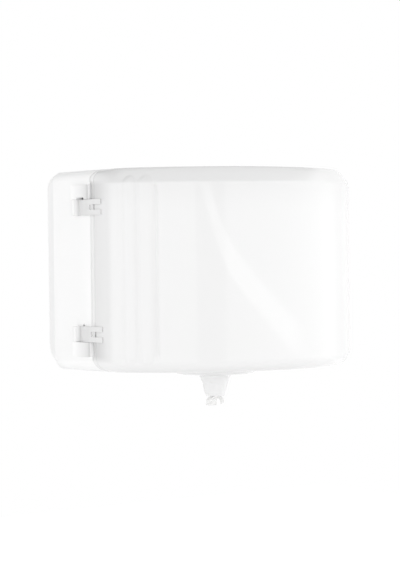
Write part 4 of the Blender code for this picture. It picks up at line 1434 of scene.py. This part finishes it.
def scrap_point(down, across):
    """Point of the scrap, which starts inside the rope and stands off it towards its lower end."""
    curl = scrap_curl * math.sin(2.4 * across + 1.6 * down)
    curl += scrap_crumple * noise.noise((across * scrap_columns * 0.7, down * scrap_rows * 0.5, 5.0))
    clear = eased((down - 0.2) / 0.5)
    reach = (1.2 + 3.2 * clear + (4.0 - 0.4 * clear) * across) * MM
    height = scrap_top + (scrap_low - scrap_top) * down * (1 - 0.16 * across ** 2)
    return scrap_out * reach + scrap_face * curl + Vector((0, outlet_y, height))


for depth in (0.0, scrap_thick):
    sheet = [[edit.verts.new(scrap_point(i / scrap_rows, k / scrap_columns) + scrap_face * depth)
              for k in range(scrap_columns + 1)] for i in range(scrap_rows + 1)]
    for upper, lower in zip(sheet, sheet[1:]):
        for k in range(scrap_columns):
            edit.faces.new((upper[k], upper[k + 1], lower[k + 1], lower[k]))
bmesh.ops.recalc_face_normals(edit, faces=edit.faces)
tail = mesh_object("twisted_tissue_tail", edit, tail_tissue)
shade(tail, 70, False)
hand_over(tail, "casing", "tissue_tail", "paper_tail")

# %% [markdown]
# ## Floor and light
# The dispenser hangs clear of everything, so the floor lies well below it and only catches a faint
# shadow. It glows a little, most at the left, as a lit white table does, and lightens the underside.
# The light is that of a white studio: a ring of soft panels near eye level, stronger at the right
# and weak behind the wall, with some light from the upper sides and from overhead.

# %% Floor
floor_height = -420 * MM
floor_reach = 1.25
table_light = 0.01
table_light_left = 0.14
table_light_seen = 0.5
table_left = -0.8
material, tree, place = start_material("pale_studio_floor")
speck = add(tree, "ShaderNodeTexNoise", {"Vector": place, "Scale": 1 / (3 * MM), "Detail": 2.0})
tone = add(tree, "ShaderNodeMix", {"Factor": speck, "A": "#F0F0F0", "B": "#F4F4F4"}, data_type="RGBA")
paths = add(tree, "ShaderNodeLightPath").outputs
across = add(tree, "ShaderNodeSeparateXYZ", {"Vector": place}).outputs["X"]
low_light = add(tree, "ShaderNodeMapRange", {
    "Value": across, "From Min": 0.0, "From Max": table_left,
    "To Min": table_light, "To Max": table_light_left})
strength = add(tree, "ShaderNodeMapRange", {
    "Value": formula(tree, ("MAXIMUM", paths["Is Camera Ray"], paths["Is Glossy Ray"])),
    "To Min": low_light, "To Max": table_light_seen})
seen = add(tree, "ShaderNodeAddShader", {
    0: add(tree, "ShaderNodeBsdfDiffuse", {"Color": tone}),
    1: add(tree, "ShaderNodeEmission", {"Color": "#FFFFFF", "Strength": strength})})
add(tree, "ShaderNodeOutputMaterial", {"Surface": seen})
edit = bmesh.new()
edit.faces.new([
    edit.verts.new((x * floor_reach, y * floor_reach, floor_height)) for x, y in rectangle((-1, -1), (1, 1))])
floor = mesh_object("studio_floor", edit, material)

# %% Diffuse light of the studio
# Strength of the light from a direction. The ring near eye level changes with the direction to the
# right and to the rear, and loses strength straight behind and behind at the right.
even_light = 0.405
ring_light = 2.4
ring_to_right = 0.36
ring_to_rear = 0.22
ring_rear_loss = -1.36
rear_right_loss = -2.3
side_lift = 0.75
right_lift = 0.75
overhead_lift = 0.3

world = bpy.data.worlds.new("white_studio")
world.use_nodes = True
tree = world.node_tree
tree.nodes.clear()
direction = add(tree, "ShaderNodeTexCoord").outputs["Generated"]
parts = add(tree, "ShaderNodeSeparateXYZ", {"Vector": direction}).outputs
to_right, to_rear, upwards = (formula(tree, ("MAXIMUM", parts[axis], 0.0)) for axis in "XYZ")
near_level = ("POWER", ("SUBTRACT", 1.0, ("ABSOLUTE", parts["Z"])), 4.0)
ring_level = (
    "ADD", ("MULTIPLY", parts["X"], ring_to_right), ("MULTIPLY", parts["Y"], ring_to_rear),
    ("MULTIPLY", ("POWER", to_rear, 2.0), ring_rear_loss),
    ("MULTIPLY", ("MULTIPLY", to_right, to_rear), rear_right_loss), ring_light)
high_sides = ("MULTIPLY", ("POWER", ("ABSOLUTE", parts["X"]), 2.0), upwards)
soft_level = formula(tree, (
    "ADD", ("MULTIPLY", near_level, ring_level), ("MULTIPLY", high_sides, side_lift),
    ("MULTIPLY", ("MULTIPLY", to_right, upwards), right_lift),
    ("MULTIPLY", ("POWER", upwards, 3.0), overhead_lift), even_light))

# %% [markdown]
# ## What the gloss mirrors
# A polished cover shows the studio itself. White walls give an even sheen. Two wide soft boxes make
# it lighter, and the narrow gap between them is the darker upright band left of the middle. Their
# far ends fade, so that they draw no lines on the cover. The curved edge of a reflector comes back
# as the long faint arc. The ceiling and the room behind the lamps are darker.

# %% Mirrored studio
# Directions are in degrees: to the right of straight ahead of the cover, and above the horizon.
dark_gap = (-31, -10.5)
gap_border = 0.3
box_ends = (-125, 90)
box_end_border = 12
box_height = (-35, 30)
box_height_border = 4
box_gain = 0.55
arc_gain = 0.85
arc_half_height = 0.5
arc_border = 0.05
arc_middle = (
    (-32, 3.4), (-20, 1.45), (-12, 0.42), (-4, -0.25), (11, -1.02), (26, -1.72), (40, -2.25), (58, -2.8))
arc_reach = (-32, 58)
arc_rise = (-4, 4)
arc_fade = (-31, 46)
arc_fade_border = 12
ceiling = (34, 100)
ceiling_border = 6
ceiling_loss = -0.9
room_behind = (-200, -132)
room_border = 8
room_loss = -0.5

azimuth = formula(tree, ("DEGREES", ("ARCTAN2", parts["X"], ("MULTIPLY", parts["Y"], -1.0))))
elevation = formula(tree, ("DEGREES", ("ARCSINE", parts["Z"])))
outside_gap = ("SUBTRACT", 1.0, window(tree, azimuth, *dark_gap, gap_border))
within_ends = window(tree, azimuth, *box_ends, box_end_border)
boxes = ("MULTIPLY", outside_gap, within_ends, window(tree, elevation, *box_height, box_height_border))

along_arc = add(tree, "ShaderNodeMapRange", {
    "Value": azimuth, "From Min": arc_reach[0], "From Max": arc_reach[1]})
curve = add(tree, "ShaderNodeFloatCurve", {"Value": along_arc})
points = curve.mapping.curves[0].points
for number, place in enumerate(arc_middle):
    spot = [(value - low) / (high - low) for value, (low, high) in zip(place, (arc_reach, arc_rise))]
    if number < 2:
        points[number].location = spot
    else:
        points.new(*spot)
curve.mapping.update()
arc_height = add(tree, "ShaderNodeMapRange", {
    "Value": curve, "To Min": arc_rise[0], "To Max": arc_rise[1]}, clamp=False)
off_arc = formula(tree, ("SUBTRACT", elevation, arc_height))
line = window(tree, off_arc, -arc_half_height, arc_half_height, arc_border)
arc = ("MULTIPLY", line, window(tree, azimuth, *arc_fade, arc_fade_border))
gloss_level = formula(tree, (
    "ADD", ("MULTIPLY", boxes, box_gain), ("MULTIPLY", arc, arc_gain),
    ("MULTIPLY", window(tree, elevation, *ceiling, ceiling_border), ceiling_loss),
    ("MULTIPLY", window(tree, azimuth, *room_behind, room_border), room_loss), 1.0))

# %% World
soft, mirrored_room, white = (add(tree, "ShaderNodeBackground", {
    "Color": "#FFFFFF", "Strength": level}) for level in (soft_level, gloss_level, 1.0))
paths = add(tree, "ShaderNodeLightPath").outputs
lit = add(tree, "ShaderNodeMixShader", {"Fac": paths["Is Glossy Ray"], 1: soft, 2: mirrored_room})
straight = formula(tree, ("MAXIMUM", paths["Is Camera Ray"], paths["Is Transmission Ray"]))
seen = add(tree, "ShaderNodeMixShader", {"Fac": straight, 1: lit, 2: white})
add(tree, "ShaderNodeOutputWorld", {"Surface": seen})
bpy.context.scene.world = world
print("studio light:", len(tree.nodes), "nodes")
